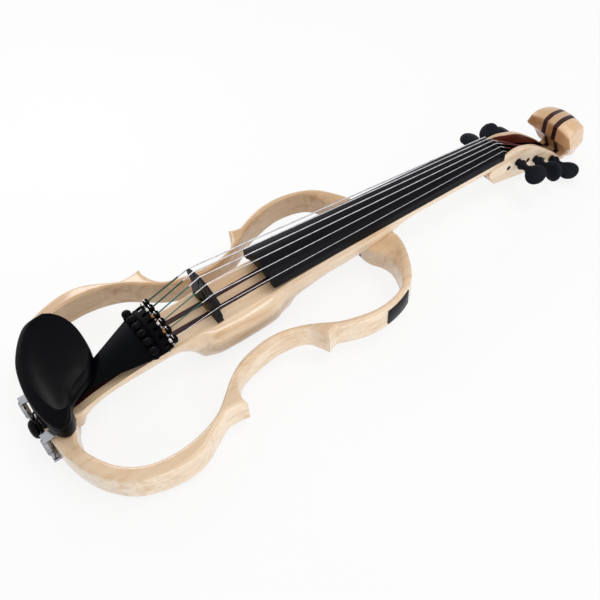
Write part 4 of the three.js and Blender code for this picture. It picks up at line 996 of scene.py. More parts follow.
def plan_triangles(outer, inner, amounts, spacing):
    """Triangles between two loops, with rows of points inside the edges and a grid between them."""
    points, sides = [], []
    for loop in (outer, inner):
        base, count = len(points), len(loop)
        points += [tuple(p) for p in loop]
        sides += [(base + i, base + (i + 1) % count) for i in range(count)]
    for loop in (outer, inner):
        for amount in amounts:
            row = inset(loop, amount)
            points += [tuple(p) for p in row[edge_distance(row, (outer, inner)) > 0.97 * amount]]
    low, high = np.min(outer, 0), np.max(outer, 0)
    grid = np.stack(np.meshgrid(*(np.arange(a, b, spacing) for a, b in zip(low, high))), -1)
    grid = grid.reshape(-1, 2)
    grid = grid[within(grid, outer) & ~within(grid, inner)]
    grid = grid[edge_distance(grid, (outer, inner)) > amounts[-1] + spacing / 3]
    points += [tuple(p) for p in grid]
    made = delaunay_2d_cdt([Vector(p) for p in points], sides, [], 0, 1e-7)
    spots, triangles, sources = np.array(made[0]), made[2], made[3]
    middles = np.array([spots[list(face)].mean(0) for face in triangles])
    kept = within(middles, outer) & ~within(middles, inner)
    index = {source: i for i, group in enumerate(sources) for source in group}
    edges = [(index[a], index[b]) for a, b in sides]
    return spots, [tuple(face) for face, keep in zip(triangles, kept) if keep], edges


def rim_shell(settings):
    """Rim with its tail and neck blocks: one closed shell with softly rounded edges."""
    outer, inner = rim_edges()
    first, last = inner[0], inner[-1]
    under_bar = [(first[0] + x * BLOCK_HALF, first[1] - y * BLOCK_HALF)
                 for x, y in TAIL_BLOCK_SHARES]
    under_neck = [(last[0] - x * BLOCK_HALF, last[1] - y * BLOCK_HALF)
                  for x, y in NECK_BLOCK_SHARES]
    inner = under_bar + [p for p in inner if p[0] > 0 or p[1] > 1.45 * BLOCK_HALF] + under_neck
    outer = with_corners(outer, 2.2 * MM)
    inner = with_corners(inner, 2.2 * MM, 60)
    flip = np.array((1, -1))
    loops = []
    for bass, hole in ((outer, False), (inner, True)):
        loop = [np.array(p) * flip for p in bass] + [np.array(p) for p in bass[::-1]]
        area = sum(a[0] * b[1] - b[0] * a[1] for a, b in zip(loop, loop[1:] + loop[:1]))
        loops.append(loop[::-1] if (area > 0) == hole else loop)
    top, low = settings.rim_rounding, settings.rim_rounding * 0.6
    amounts = [top * (1 - math.cos(turn)) for turn in np.linspace(0, math.pi / 2, 7)[1:]]
    spots, triangles, edges = plan_triangles(*loops, amounts, 3 * MM)
    edge = edge_distance(spots, loops)
    rise = RIM_HEIGHT - top * (1 - np.sqrt(1 - np.clip(1 - edge / top, 0, 1) ** 2))
    floor = low * (1 - np.sqrt(1 - np.clip(1 - edge / low, 0, 1) ** 2))
    near_neck = smoothstep(spots[:, 0], SCOOP_START, SCOOP_START + SCOOP_RUN)
    from_outside = smoothstep(edge_distance(spots, loops[:1]), top, top + SCOOP_WIDTH)
    rise -= settings.scoop_depth * near_neck * from_outside
    count = len(spots)
    points = [(*spot, z) for spot, z in zip(spots, rise)]
    points += [(*spot, z) for spot, z in zip(spots, floor)]
    faces = triangles + [tuple(count + i for i in face[::-1]) for face in triangles]
    faces += [(a, b, count + b, count + a) for a, b in edges]
    return new_piece("rim shell", points, faces)


def bar_shell(settings):
    """Centre bar with its belly and the neck: one smooth loft."""
    rows = []
    for at, top, half, bulge, wide_z, back_half, back in BAR_SHARES:
        top_half = half * BEAM_HALF
        wide = top_half + bulge * (BELLY_HALF - BEAM_HALF)
        rows.append((BODY_TAIL + at * BODY_LENGTH, top * BEAM_TOP, top_half, wide,
                     wide_z * BEAM_TOP, back_half * BEAM_HALF, back * BEAM_TOP))
    neck_start = rows[-1][0]
    for at, depth, back_half in NECK_SHARES:
        x = neck_start + at * (NUT_X - neck_start)
        top = board_under(x) - TOUCH_GAP
        half = min(board_half(x), BEAM_HALF)
        rows.append((x, top, half, half, top - NECK_DEPTH / 3, back_half * NECK_BACK_HALF,
                     top - depth * NECK_DEPTH))
    rings = []
    arc = 16
    for x, top, top_half, wide, wide_z, back_half, back in smooth_run(rows, 10):
        top = min(top, BEAM_TOP, board_under(x) - TOUCH_GAP)
        back = max(back, 0)
        half = [(top_half * i / 14, top) for i in range(15)]
        for i in range(1, arc + 1):
            turn = i / arc * math.pi / 2
            half.append((top_half + (wide - top_half) * math.sin(turn),
                         wide_z + (top - wide_z) * math.cos(turn)))
        for i in range(1, arc + 1):
            turn = i / arc * math.pi / 2
            half.append((back_half + (wide - back_half) * math.cos(turn),
                         wide_z - (wide_z - back) * math.sin(turn)))
        half += [(back_half * (1 - i / 6), back) for i in range(1, 7)]
        ring = half + [(-y, z) for y, z in half[-2:0:-1]]
        ring = eased(ring, settings.bar_softness)
        rings.append([(x, y, z) for y, z in ring])
    return loft("bar shell", rings)


def head_point(share):
    return NUT_X + share[0] * (HEAD_END - NUT_X), share[1] * HEAD_DROP


def pegbox_shells():
    """Pegbox with its well, and the scroll behind it."""
    seat = NUT_LO.z
    top = [head_point(s) for s in CHEEK_SHARES]
    lap = HEAD_END + 9 * MM
    throat = [(lap, -HEAD_DROP * 0.6), (lap, -HEAD_DROP * 0.84), (HEAD_END, -HEAD_DROP)]
    heel = [head_point(s) for s in HEEL_SHARES]
    outline = [(NUT_X - (NUT_HI.x - NUT_LO.x), seat - TOUCH_GAP), (NUT_X, seat), (NUT_HI.x, seat)]
    outline += [tuple(p) for p in respaced(top, 3 * MM)]
    outline += throat + [tuple(p) for p in respaced(heel, 2.5 * MM)]
    box = plate("pegbox shell", outline, -PEGBOX_HALF, PEGBOX_HALF, "y")
    drop = HEAD_DROP / (HEAD_END - NUT_X)
    start = NUT_HI.x + 1.2 * TOUCH_GAP
    floor = 3.2 * MM
    depth = [(start, floor - drop * (start - NUT_X)), (start, BEAM_TOP), (HEAD_END, BEAM_TOP),
             (HEAD_END - 4 * PEG_SHAFT, floor - HEAD_DROP)]
    well = plate("well", depth, -PEGBOX_HALF, PEGBOX_HALF, "y")
    end = HEAD_END - 2 * floor
    narrow = start + (HEAD_END - NUT_X) / 4
    plan = [(start, -CAVITY_NUT_HALF), (narrow, -CAVITY_HALF), (end, -CAVITY_HALF),
            (end, CAVITY_HALF), (narrow, CAVITY_HALF), (start, CAVITY_NUT_HALF)]
    carve(well, plate("well plan", plan, -BEAM_TOP, 2 * BEAM_TOP), "INTERSECT")
    carve(box, well)
    rounded(box, 1.1 * MM, 3, 40)
    rings = []
    for at, high, high_half, mid, mid_half, low, low_half in SCROLL_SHARES:
        x = SCROLL_FRONT + at * (SCROLL_BACK - SCROLL_FRONT)
        top_half = high_half * SCROLL_HALF
        ring = [(x, top_half * t, high * SCROLL_TOP + SCROLL_CROWN * (0.6 - t * t))
                for t in np.linspace(-1, 1, 13)]
        side = [(mid_half * SCROLL_HALF, mid * SCROLL_TOP),
                (low_half * SCROLL_HALF, low * SCROLL_DEPTH)]
        ring += [(x, y, z) for y, z in side] + [(x, -y, z) for y, z in side[::-1]]
        rings.append(np.array(ring).flatten())
    rings = [[tuple(p) for p in row.reshape(-1, 3)] for row in smooth_run(rings, 5)]
    scroll = loft("scroll shell", rings)
    remesh = scroll.modifiers.new("even faces", "REMESH")
    remesh.mode = "VOXEL"
    remesh.voxel_size = 0.8 * MM
    soften = scroll.modifiers.new("carved edges", "SMOOTH")
    soften.factor = 0.5
    soften.iterations = 34
    settle(scroll)
    return box, scroll


def sliced(shell, low, high, name):
    """Part of a closed shell between two planes across Y, with its cut faces filled."""
    work = bmesh.new()
    work.from_mesh(shell.data)
    for level, normal in ((low, -1), (high, 1)):
        if level is None:
            continue
        everything = list(work.verts) + list(work.edges) + list(work.faces)
        cut = bmesh.ops.bisect_plane(work, geom=everything, dist=1e-7, plane_co=(0, level, 0),
                                     plane_no=(0, normal, 0), clear_outer=True)
        edges = [e for e in cut["geom_cut"] if isinstance(e, bmesh.types.BMEdge)]
        edges = [e for e in edges if e.is_valid and e.is_boundary]
        if edges:
            bmesh.ops.holes_fill(work, edges=edges, sides=0)
    mesh = bpy.data.meshes.new(name)
    work.to_mesh(mesh)
    empty = not work.faces
    work.free()
    if empty:
        bpy.data.meshes.remove(mesh)
        return None
    return in_scene(name, mesh)


def joined(name, parts):
    """One object made of several closed shells."""
    points, faces = [], []
    for part in parts:
        base = len(points)
        points += [tuple(v.co) for v in part.data.vertices]
        faces += [tuple(base + i for i in face.vertices) for face in part.data.polygons]
        bpy.data.objects.remove(part)
    mesh = bpy.data.meshes.new(name)
    mesh.from_pydata(points, [], faces)
    return in_scene(name, mesh)


class VIOLIN_OT_body(bpy.types.Operator):
    """Build the carved body: rim, centre bar, pegbox and scroll in their laminations"""

    bl_idname = "violin.body"
    bl_label = "Wood Body"

    def execute(self, context):
        settings = context.scene.violin_wood
        rim = rim_shell(settings)
        bar = bar_shell(settings)
        box, scroll = pegbox_shells()
        long_shells = (bar, box, scroll)
        far = None
        layers = [
            ("centre_lamination", -CORE_HALF, CORE_HALF, "maple_centre", "maple"),
            ("bass_dark_stripe", CORE_HALF, STRIPE_OUTER, "dark_wood", "dark_wood"),
            ("treble_dark_stripe", -STRIPE_OUTER, -CORE_HALF, "dark_wood", "dark_wood"),
            ("bass_body_wing", STRIPE_OUTER, far, "maple_bass", "maple"),
            ("treble_body_wing", far, -STRIPE_OUTER, "maple_treble", "maple"),
        ]
        for node, low, high, finish, slot in layers:
            parts = [sliced(shell, low, high, node) for shell in long_shells]
            rim_low = -BLOCK_HALF if low is far else low
            rim_high = BLOCK_HALF if high is far else high
            parts.append(sliced(rim, rim_low, rim_high, node))
            whole = joined(node + "_wood", [p for p in parts if p])
            hand_over(whole, "instrument", slot, finish, (node,), 42)
        for word, side in SIDES:
            low, high = (BLOCK_HALF, far) if side > 0 else (far, -BLOCK_HALF)
            part = sliced(rim, low, high, word + "_rim_wood")
            hand_over(part, "instrument", "maple", "maple_" + word, (word + "_rim",), 42)
        for shell in (rim, *long_shells):
            bpy.data.objects.remove(shell)
        return {"FINISHED"}


def string_share(i):
    """Place of a string across the instrument: -1 for the treble, 1 for the bass."""
    return -1 + 2 * i / 5


def arch_ring(x, half, under, side, arch, steps=40):
    """Section of the board: flat below, upright sides with eased corners, arched on top."""
    ring = [(x, -half + 2 * half * i / 8, under) for i in range(9)]
    ring += [(x, half, under + side * i / 4) for i in range(1, 4)]
    for i in range(steps + 1):
        t = 1 - 2 * i / steps
        ring.append((x, half * t, under + side + arch * (1 - t * t)))
    ring += [(x, -half, under + side * i / 4) for i in (3, 2, 1)]
    return ring


class VIOLIN_OT_fingerboard(bpy.types.Operator):
    """Build the fingerboard and the nut"""

    bl_idname = "violin.fingerboard"
    bl_label = "Fingerboard and Nut"

    def execute(self, context):
        rings = []
        for i in range(25):
            t = i / 24
            x = BOARD_END + t * (NUT_X - BOARD_END)
            rings.append(arch_ring(x, board_half(x), board_under(x), BOARD_SIDE,
                                   (7 - 4 * t) * MM))
        board = loft("fingerboard_finished", rings)
        hollow = []
        for x, depth in ((BOARD_END - 6 * MM, 4.8 * MM), (150 * MM, 0.15 * MM)):
            half, under = board_half(x) * 0.8, board_under(x) - TOUCH_GAP
            arc = [(x, half * math.cos(a), under + depth * math.sin(a))
                   for a in np.linspace(0, math.pi, 25)]
            hollow.append(arc + [(x, -half, under - 6 * MM), (x, half, under - 6 * MM)])
        carve(board, loft("hollow", hollow))
        rounded(board, 0.7 * MM, 3, 50)
        hand_over(board, "instrument", "ebony", "board", ("fingerboard",), 45)
        nut_rings = []
        top = NUT_CROWN - STRING_RADII[-1] - TOUCH_GAP
        for t in np.linspace(0, 1, 9):
            x = NUT_LO.x + t * (NUT_HI.x - NUT_LO.x)
            ease = 0.9 * MM * (max(0, t - 0.45) / 0.55) ** 2
            ring = [(x, -NUT_HALF, NUT_LO.z), (x, NUT_HALF, NUT_LO.z)]
            for i in range(41):
                y = NUT_HALF * (1 - i / 20)
                ring.append((x, y, top - ease - NUT_DROP * (y / NUT_SPREAD) ** 2))
            nut_rings.append(ring)
        nut = loft("nut_finished", nut_rings)
        for i in STRINGS:
            t = string_share(i)
            ends = [(x, t * NUT_SPREAD, NUT_CROWN - NUT_DROP * t * t)
                    for x in (NUT_LO.x - MM, NUT_HI.x + MM)]
            carve(nut, tube("groove", ends, STRING_RADII[i] + 0.45 * MM, 12))
        rounded(nut, 0.35 * MM, 2, 50)
        hand_over(nut, "instrument", "ebony", "ebony", ("nut",))
        return {"FINISHED"}


class VIOLIN_OT_bridge(bpy.types.Operator):
    """Build the bridge and the pickup strip under it"""

    bl_idname = "violin.bridge"
    bl_label = "Bridge and Pickup"

    def execute(self, context):
        dressed("bridge", "instrument", "bridge_black", "bridge", 0.45 * MM, 3, 40)
        dressed("pickup", "instrument", "pickup_brass", "brass_dull", 0.3 * MM, 2)
        return {"FINISHED"}


def tail_top(x):
    share = (x - TAIL_BACK) / (TAIL_FRONT - TAIL_BACK)
    return TAIL_END_TOP + (TAIL_TOP - TAIL_END_TOP) * share


def tail_y(i):
    return string_share(i) * TAIL_SPREAD


def tail_drop(i):
    return TAIL_ARCH * (tail_y(i) / TAIL_HALF) ** 2


class VIOLIN_OT_tailpiece(bpy.types.Operator):
    """Build the tailpiece with its six fine tuners"""

    bl_idname = "violin.tailpiece"
    bl_label = "Tailpiece and Tuners"

    def execute(self, context):
        rings = []
        for along, wide in smooth_run(TAIL_SHARES, 14):
            x = TAIL_BACK + along * (TAIL_FRONT - TAIL_BACK)
            half = TAIL_END_HALF + wide * (TAIL_HALF - TAIL_END_HALF)
            top, arch = tail_top(x), TAIL_ARCH * (0.35 + 0.65 * wide)
            thick = TAIL_THICK * (0.5 + 0.5 * wide)
            ring = [(half * (1 - i / 20), top - arch * (1 - i / 20) ** 2) for i in range(41)]
            ring += [(-half, top - arch - thick / 8), (-half, top - arch - thick / 4),
                     (-half * 0.8, top - thick * 0.75), (-half / 2, top - thick), (0, top - thick),
                     (half / 2, top - thick), (half * 0.8, top - thick * 0.75),
                     (half, top - arch - thick / 4), (half, top - arch - thick / 8)]
            rings.append([(x, y, z) for y, z in eased(ring, 2)])
        tail = loft("tailpiece_finished", rings)
        for i in STRINGS:
            y = tail_y(i)
            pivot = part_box(f"tuner_lever_{i + 1}")[0].z
            carve(tail, block("slot", (SLOT_START, y - SLOT_HALF, pivot - 20 * MM),
                              (TAIL_FRONT + 6 * MM, y + SLOT_HALF, TAIL_TOP + 9 * MM)))
        rounded(tail, 0.5 * MM, 2, 55)
        hand_over(tail, "instrument", "black_lacquer", "tail", ("tailpiece",), 45)
        fret = []
        for dx, rise in FRET_PROFILE:
            x = FRET_X + dx * MM
            fret.append([(x, TAIL_HALF * 0.95 * t, tail_top(x) + rise * MM - TAIL_ARCH * t * t)
                         for t in np.linspace(-1, 1, 33)])
        rows = len(fret)
        points = [p for row in fret for p in row]
        faces = [(r * 33 + c, r * 33 + c + 1, (r + 1) % rows * 33 + c + 1, (r + 1) % rows * 33 + c)
                 for r in range(rows) for c in range(32)]
        faces += [tuple(r * 33 for r in range(rows)), tuple(r * 33 + 32 for r in range(rows))]
        hand_over(new_piece("tailpiece_cross_fret", points, faces), "instrument", "black_lacquer",
                  "screw")
        ribs = knurl_tree()
        for i in STRINGS:
            y, number = tail_y(i), i + 1
            lever = f"tuner_lever_{number}"
            dressed(lever, lever, "chrome", "chrome", 0.3 * MM, 2)
            hook_z = TAIL_TOP + HOOK_RISE - tail_drop(i)
            head = block_at(f"{lever}_head", (HOOK_X, y, hook_z), *LEVER_HEAD)
            rounded(head, 1.7 * MM, 4)
            carve(head, block_at("gap", (HOOK_X, y, hook_z), *LEVER_GAP))
            hand_over(head, lever, "black_metal", "screw")
            ball = turned(f"{lever}_string_ball", [(r * MM, at * MM) for r, at in BALL_PROFILE],
                          (HOOK_X - 4.4 * MM, y, hook_z - 0.4 * MM), "y", 24)
            hand_over(ball, lever, "string_steel", "brass" if i in (1, 3) else "nickel")
            screw = f"tuner_screw_{number}"
            low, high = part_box(screw)
            neck = tail_top(TUNER_X) - tail_drop(i) + 3.4 * MM
            r = (high.y - low.y) / 2
            top = high.z
            profile = [
                (0, low.z), (1.3 * MM, low.z), (1.3 * MM, neck - 3 * MM), (1.5 * MM, neck),
                (2.2 * MM, neck + 0.5 * MM), (r * 0.84, neck + 0.8 * MM),
                (r * 0.97, neck + 1.5 * MM), (r * 0.97, top - 1.9 * MM),
                (r * 0.9, top - 1.2 * MM), (r * 0.68, top - 0.5 * MM),
                (r * 0.36, top - 0.1 * MM), (0, top)]
            knob = turned(f"{screw}_finished", profile, (TUNER_X, y, 0))
            hand_over(knob, screw, "black_metal", "screw", (screw,))
            ring = ribs.build(f"{screw}_knurl", {
                "Ribs": 26, "Radius": r * 0.97, "Height": top - neck - 3.2 * MM,
                "Rib Radius": 0.28 * MM, "Centre": (TUNER_X, y, (top + neck) / 2 - 0.2 * MM),
                "Material": finish_for("screw")})
            hand_over(ring, screw, "black_metal", "screw")
            seat = tail_top(TUNER_X) - tail_drop(i)
            boss = turned(f"tuner_boss_{number}", [
                (1.7 * MM, seat - 1.5 * MM), (3.7 * MM, seat - 1.5 * MM),
                (3.7 * MM, seat + 1.2 * MM), (3.2 * MM, seat + 1.9 * MM),
                (1.7 * MM, seat + 2 * MM), (1.7 * MM, seat - 1.5 * MM)],
                (TUNER_X, y, 0), "z", 32)
            hand_over(boss, "instrument", "black_metal", "screw")
        return {"FINISHED"}


def peg_axis(name):
    """Where a peg's axis lies along the instrument, and its height."""
    joint = next(j for j in frame["joints"] if j["child"] == name)
    return joint["pos_m"][0], joint["pos_m"][2]


def string_route(i):
    """Path of one string: its start, the bridge, the nut and its turns round the peg."""
    treble = i < 3
    order = i if treble else 5 - i
    word = "treble" if treble else "bass"
    side = -1 if treble else 1
    seat_x, seat_z = peg_axis(f"{word}_peg_{order + 1}")
    radius, t = STRING_RADII[i], string_share(i)
    start = (HOOK_X + TOUCH_GAP, tail_y(i), TAIL_TOP + HOOK_RISE - tail_drop(i))
    over_bridge = (0, t * BRIDGE_SPREAD, BRIDGE_CROWN - BRIDGE_DROP * t * t)
    over_nut = (NUT_HI.x + TOUCH_GAP, t * NUT_SPREAD, NUT_CROWN - NUT_DROP * t * t)
    pitch = 2 * radius + WINDING_GAP
    wound = PEG_SHAFT + TOUCH_GAP + 1.15 * radius
    inward = abs(t) * NUT_SPREAD > CAVITY_HALF / 2
    first = side * (CAVITY_HALF - 1.4 * STRING_RADII[-1] if inward else abs(t) * NUT_SPREAD)
    step = side * (-pitch if inward else pitch)
    dx, dz = over_nut[0] - seat_x, over_nut[2] - seat_z
    begin = math.atan2(dz, dx) - math.acos(wound / math.hypot(dx, dz))
    winding = []
    for s in range(3 * 36 + 1):
        turn = begin - 2 * math.pi * s / 36
        winding.append((seat_x + wound * math.cos(turn), first + step * s / 36,
                        seat_z + wound * math.sin(turn)))
    last, before = np.array(winding[-1]), np.array(winding[-2])
    tangent = (last - before) / np.linalg.norm(last - before)
    winding.append(tuple(last + tangent * 2 * radius))
    return start, over_bridge, over_nut, winding


class VIOLIN_OT_strings(bpy.types.Operator):
    """Build the six strings, their silk ends and their turns round the pegs"""

    bl_idname = "violin.strings"
    bl_label = "Strings"

    def execute(self, context):
        silks = [None, "silk_teal", "silk_teal", "silk_teal", "silk_green", "silk_green"]
        for i in STRINGS:
            start, bridge, nut, winding = string_route(i)
            radius = STRING_RADII[i]
            span = straight(start, bridge, np.linspace(0, 1, 9))
            main = straight(bridge, nut, np.linspace(0, 1, 41)[1:])
            steel = tube(f"string_{i + 1}_finished", [*span, *main, *winding], radius, 10)
            hand_over(steel, "instrument", "string_steel", "string", (f"string_{i + 1}",), 80)
            if silks[i]:
                sleeve = radius + 0.12 * MM
                end = tube(f"string_{i + 1}_tail_silk", span[:7], sleeve, 12)
                hand_over(end, "instrument", "string_steel", silks[i], (), 80)
                path = straight(nut, winding[0], (0.12, 0.5, 1))
                end = tube(f"string_{i + 1}_peg_silk", [*path, *winding[1:]], sleeve, 12)
                hand_over(end, "instrument", "string_steel", "silk_red", (), 80)
        return {"FINISHED"}


def hoop(half_x, y, half_z):
    """Oval ring round the Y axis."""
    return [(half_x * math.cos(a), y, half_z * math.sin(a))
            for a in np.linspace(0, 2 * math.pi, 41)[:-1]]


class VIOLIN_OT_pegs(bpy.types.Operator):
    """Build the six tuning pegs"""

    bl_idname = "violin.pegs"
    bl_label = "Pegs"

    def execute(self, context):
        settings = context.scene.violin_fittings
        for word, side in SIDES:
            for order in range(3):
                name = f"{word}_peg_{order + 1}"
                axis_x, axis_z = peg_axis(name)
                low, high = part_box(name)
                tip = max(abs(low.y), abs(high.y))
                rings = [hoop(r * MM, y * MM, r * MM) for r, y in PEG_PROFILE]
                for at, wide, deep in smooth_run(THUMB_SHARES, 5):
                    y = THUMB_START + at * (tip - THUMB_START)
                    rings.append(hoop(settings.thumb_width / 2 * wide, y, THUMB_THICK * deep))
                turn = math.radians(PEG_TURNS[word][order])
                placed = []
                for ring in rings:
                    placed.append([(axis_x + x * math.cos(turn) + z * math.sin(turn), side * y,
                                    axis_z + side * (z * math.cos(turn) - x * math.sin(turn)))
                                   for x, y, z in ring])
                peg = loft(name + "_finished", placed)
                hand_over(peg, name, "ebony", "peg", (name,), 60)
        return {"FINISHED"}


class VIOLIN_OT_tail_fittings(bpy.types.Operator):
    """Build the end button, the saddle and the tail cord"""

    bl_idname = "violin.tail_fittings"
    bl_label = "End Button and Saddle"

    def execute(self, context):
        dressed("saddle", "instrument", "ebony", "ebony", 0.6 * MM, 3, 25)
        low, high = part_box("end_button")
        middle = (low.z + high.z) / 2
        radius = (high.z - low.z) / 2
        face = BODY_TAIL - TOUCH_GAP
        neck = face - 4 * MM
        profile = [(0, high.x), (3.4 * MM, high.x), (3.4 * MM, face), (5.4 * MM, face),
                   (5.4 * MM, face - 0.9 * MM), (4.4 * MM, face - 1.4 * MM),
                   (BUTTON_NECK, neck + 0.8 * MM), (5 * MM, neck + 0.2 * MM),
                   (radius * 0.9, neck - 0.1 * MM), (radius, neck - 0.9 * MM),
                   (radius * 0.985, neck - 2 * MM), (radius * 0.9, neck - 3.4 * MM),
                   (radius * 0.72, neck - 4.8 * MM), (radius * 0.45, neck - 5.6 * MM), (0, low.x)]
        button = turned("end_button_finished", profile, (0, 0, middle), "x", 56)
        hand_over(button, "instrument", "ebony", "ebony", ("end_button",))
        saddle_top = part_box("saddle")[1].z
        gut_x = face - 2 * MM
        turn_radius = BUTTON_NECK + TOUCH_GAP + 1.15 * GUT_RADIUS
        top = saddle_top + TOUCH_GAP + 1.1 * GUT_RADIUS
        side = [(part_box("tail_gut")[1].x, GUT_SPREAD, TAIL_END_TOP - TAIL_THICK / 4),
                (BODY_TAIL + 5.2 * MM, GUT_SPREAD, top), (BODY_TAIL + 1.3 * MM, GUT_SPREAD, top),
                (BODY_TAIL - GUT_RADIUS * 1.6, GUT_SPREAD, saddle_top - 1.5 * GUT_RADIUS),
                (gut_x, turn_radius, middle + turn_radius)]
        loop = [(gut_x, turn_radius * math.cos(a), middle + turn_radius * math.sin(a))
                for a in np.linspace(0, -math.pi, 25)]
        path = side + loop + [(x, -y, z) for x, y, z in side[::-1]]
        gut = tube("tail_gut_finished", respaced(path, 1.2 * MM), GUT_RADIUS, 12)
        hand_over(gut, "instrument", "gut_black", "gut", ("tail_gut",), 80)
        return {"FINISHED"}


class VIOLIN_OT_chin_rest(bpy.types.Operator):
    """Build the chin rest with its corks and its two-barrel clamp"""

    bl_idname = "violin.chin_rest"
    bl_label = "Chin Rest and Clamp"

    def execute(self, context):
        edge = respaced([(x * CHIN_LENGTH, y * CHIN_WIDTH) for x, y in CHIN_SHARES], 2 * MM, True)
        edge = np.array(edge)
        reach = len(edge) // 9
        round_edge = sum(np.roll(edge, i, 0) for i in range(-reach, reach + 1)) / (2 * reach + 1)
        rings = []
        for spread, level, dish in smooth_run(CHIN_LAYERS, 4):
            moved = min(1, (1 - spread) / (1 - CHIN_CREASE)) * (level > 0.9)
            even = smoothstep(CHIN_CREASE - spread, 0, CHIN_CREASE / 2) * (level > 0.9)
            shape = edge + (round_edge - edge) * even
            x, y = (middle + shape[:, k] * spread + moved * CHIN_SHIFT[k]
                    for k, middle in enumerate((CHIN_X, CHIN_Y)))
            z = CHIN_UNDER + CHIN_TILT * (x - CHIN_X) + level * CHIN_PLATE + dish * CHIN_DISH
            rings.append(list(zip(x, y, z)))
        rest = loft("chin_rest_finished", rings)
        hand_over(rest, "instrument", "black_lacquer", "chin", ("chin_rest",), 30)
        outline = [(CHIN_X + x * 0.995, CHIN_Y + y * 0.995) for x, y in edge]
        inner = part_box("treble_chin_rest_cork")[1].x + 1.5 * MM
        top = CHIN_UNDER + CHIN_PLATE * 0.7
        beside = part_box("saddle")[1].y + TOUCH_GAP
        reaches = (("treble", -CHIN_WIDTH, -beside), ("bass", beside, beside + FOOT_WIDTH))
        for word, low, high in reaches:
            leg = plate(f"chin_rest_{word}_leg", outline, CORK_TOP, top - CHIN_TILT * 12 * MM)
            carve(leg, block("region", (BODY_TAIL - 9 * MM, low, CORK_TOP - MM),
                             (inner, high, top + MM)), "INTERSECT")
            rounded(leg, 1 * MM, 3, 40)
            hand_over(leg, "instrument", "black_lacquer", "chin", (), 45)
            cork = f"{word}_chin_rest_cork"
            dressed(cork, "instrument", "cork", "cork", 0.2 * MM, 2)
            dressed(f"{word}_clamp_hook", "instrument", "chrome", "chrome", 0.35 * MM, 3)
            barrel = f"{word}_clamp_barrel"
            bottom, crown = (corner.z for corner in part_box(barrel))
            x, y, r = axle(barrel)
            r *= BARREL_SHARE
            rows = [(BARREL_BORE, bottom)]
            for level, lift in ((bottom, 1), (crown, -1)):
                ends = [(r * share, level + lift * rise * MM) for share, rise in BARREL_END]
                rows += ends if lift > 0 else ends[::-1]
            rows += [(BARREL_BORE, crown), (BARREL_BORE, bottom)]
            tube_piece = turned(barrel + "_finished", rows, (x, y, 0), "z", 48)
            for share in KEY_HOLE_SHARES:
                height = bottom + share * (crown - bottom)
                carve(tube_piece, turned("key hole", [
                    (0, -6 * MM), (1.05 * MM, -6 * MM), (1.05 * MM, 6 * MM), (0, 6 * MM)],
                    (x, y, height), "x", 20))
            hand_over(tube_piece, barrel, "chrome", "chrome", (barrel,))
        dressed("lower_clamp_bracket", "instrument", "chrome", "chrome", 0.35 * MM, 3)
        dressed("lower_clamp_cork", "instrument", "cork", "cork", 0.2 * MM, 2)
        return {"FINISHED"}


class VIOLIN_OT_electronics(bpy.types.Operator):
    """Build the back panel and what it carries, the parts inside, and the bare label plate"""

    bl_idname = "violin.electronics"
    bl_label = "Electronics"

    def execute(self, context):
        dressed("control_panel", "instrument", "black_plastic", "plastic", 0.3 * MM, 2)
        dressed("side_plate", "instrument", "black_plastic", "label", 0.25 * MM, 2)
        dressed("battery", "instrument", "battery_wrap", "battery", 1.2 * MM, 3)
        dressed("preamp_board", "instrument", "circuit_board", "circuit", 0.1 * MM, 1)
        low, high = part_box("battery_door")
        door = cad_copy("battery_door", "battery_door_finished")
        for i in range(6):
            x = high.x - (4 + 1.6 * i) * MM
            carve(door, block("grip", (x - 0.4 * MM, low.y * 0.55, low.z - MM),
                              (x + 0.4 * MM, high.y * 0.55, low.z + 0.45 * MM)))
        rounded(door, 0.25 * MM, 2, 40)
        hand_over(door, "battery_door", "black_plastic", "plastic", ("battery_door",))
        ribs = knurl_tree()
        for name in ("volume_knob", "tone_knob"):
            low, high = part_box(name)
            x, _, r = axle(name)
            top = low.z + 6 * MM
            profile = [(0, low.z + 0.6 * MM), (r * 0.55, low.z + 0.6 * MM),
                       (r * 0.62, low.z + 0.1 * MM), (r * 0.82, low.z),
                       (r * 0.92, low.z + 0.5 * MM), (r * 0.92, top), (1.3 * MM, top),
                       (1.3 * MM, high.z), (0, high.z)]
            knob = turned(name + "_finished", profile, (x, 0, 0), "z", 40)
            carve(knob, block("pointer", (x - 0.35 * MM, 0.4 * r, low.z - MM),
                              (x + 0.35 * MM, r, low.z + 0.8 * MM)))
            hand_over(knob, name, "black_plastic", "plastic", (name,))
            ring = ribs.build(name + "_knurl", {
                "Ribs": 28, "Radius": r * 0.92, "Height": 4.6 * MM, "Rib Radius": 0.3 * MM,
                "Centre": (x, 0, low.z + 3.2 * MM), "Material": finish_for("plastic")})
            hand_over(ring, name, "black_plastic", "plastic")
        x, _, r = axle("output_jack")
        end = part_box("output_jack")[1].z
        profile = [(JACK_BORE, end - 1.5 * MM), (JACK_BORE, 0.4 * MM), (JACK_BORE + 0.4 * MM, 0),
                   (r, 0), (r, 6 * MM), (r * 0.92, 6.4 * MM), (r * 0.92, end), (0, end),
                   (0, end - 1.5 * MM)]
        jack = turned("output_jack_finished", profile, (x, 0, 0), "z", 48)
        hand_over(jack, "instrument", "jack_nickel", "nickel", ("output_jack",))
        low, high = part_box("control_panel")
        screws = screw_row_tree().build("panel_screws", {
            "Length": high.x - low.x - 5 * MM, "Width": high.y - low.y - 4.2 * MM, "Columns": 3,
            "Rows": 2, "Head Radius": 1.3 * MM, "Centre": ((high.x + low.x) / 2, 0, 0.25 * MM),
            "Material": finish_for("nickel")})
        hand_over(screws, "instrument", "jack_nickel", "nickel")
        return {"FINISHED"}


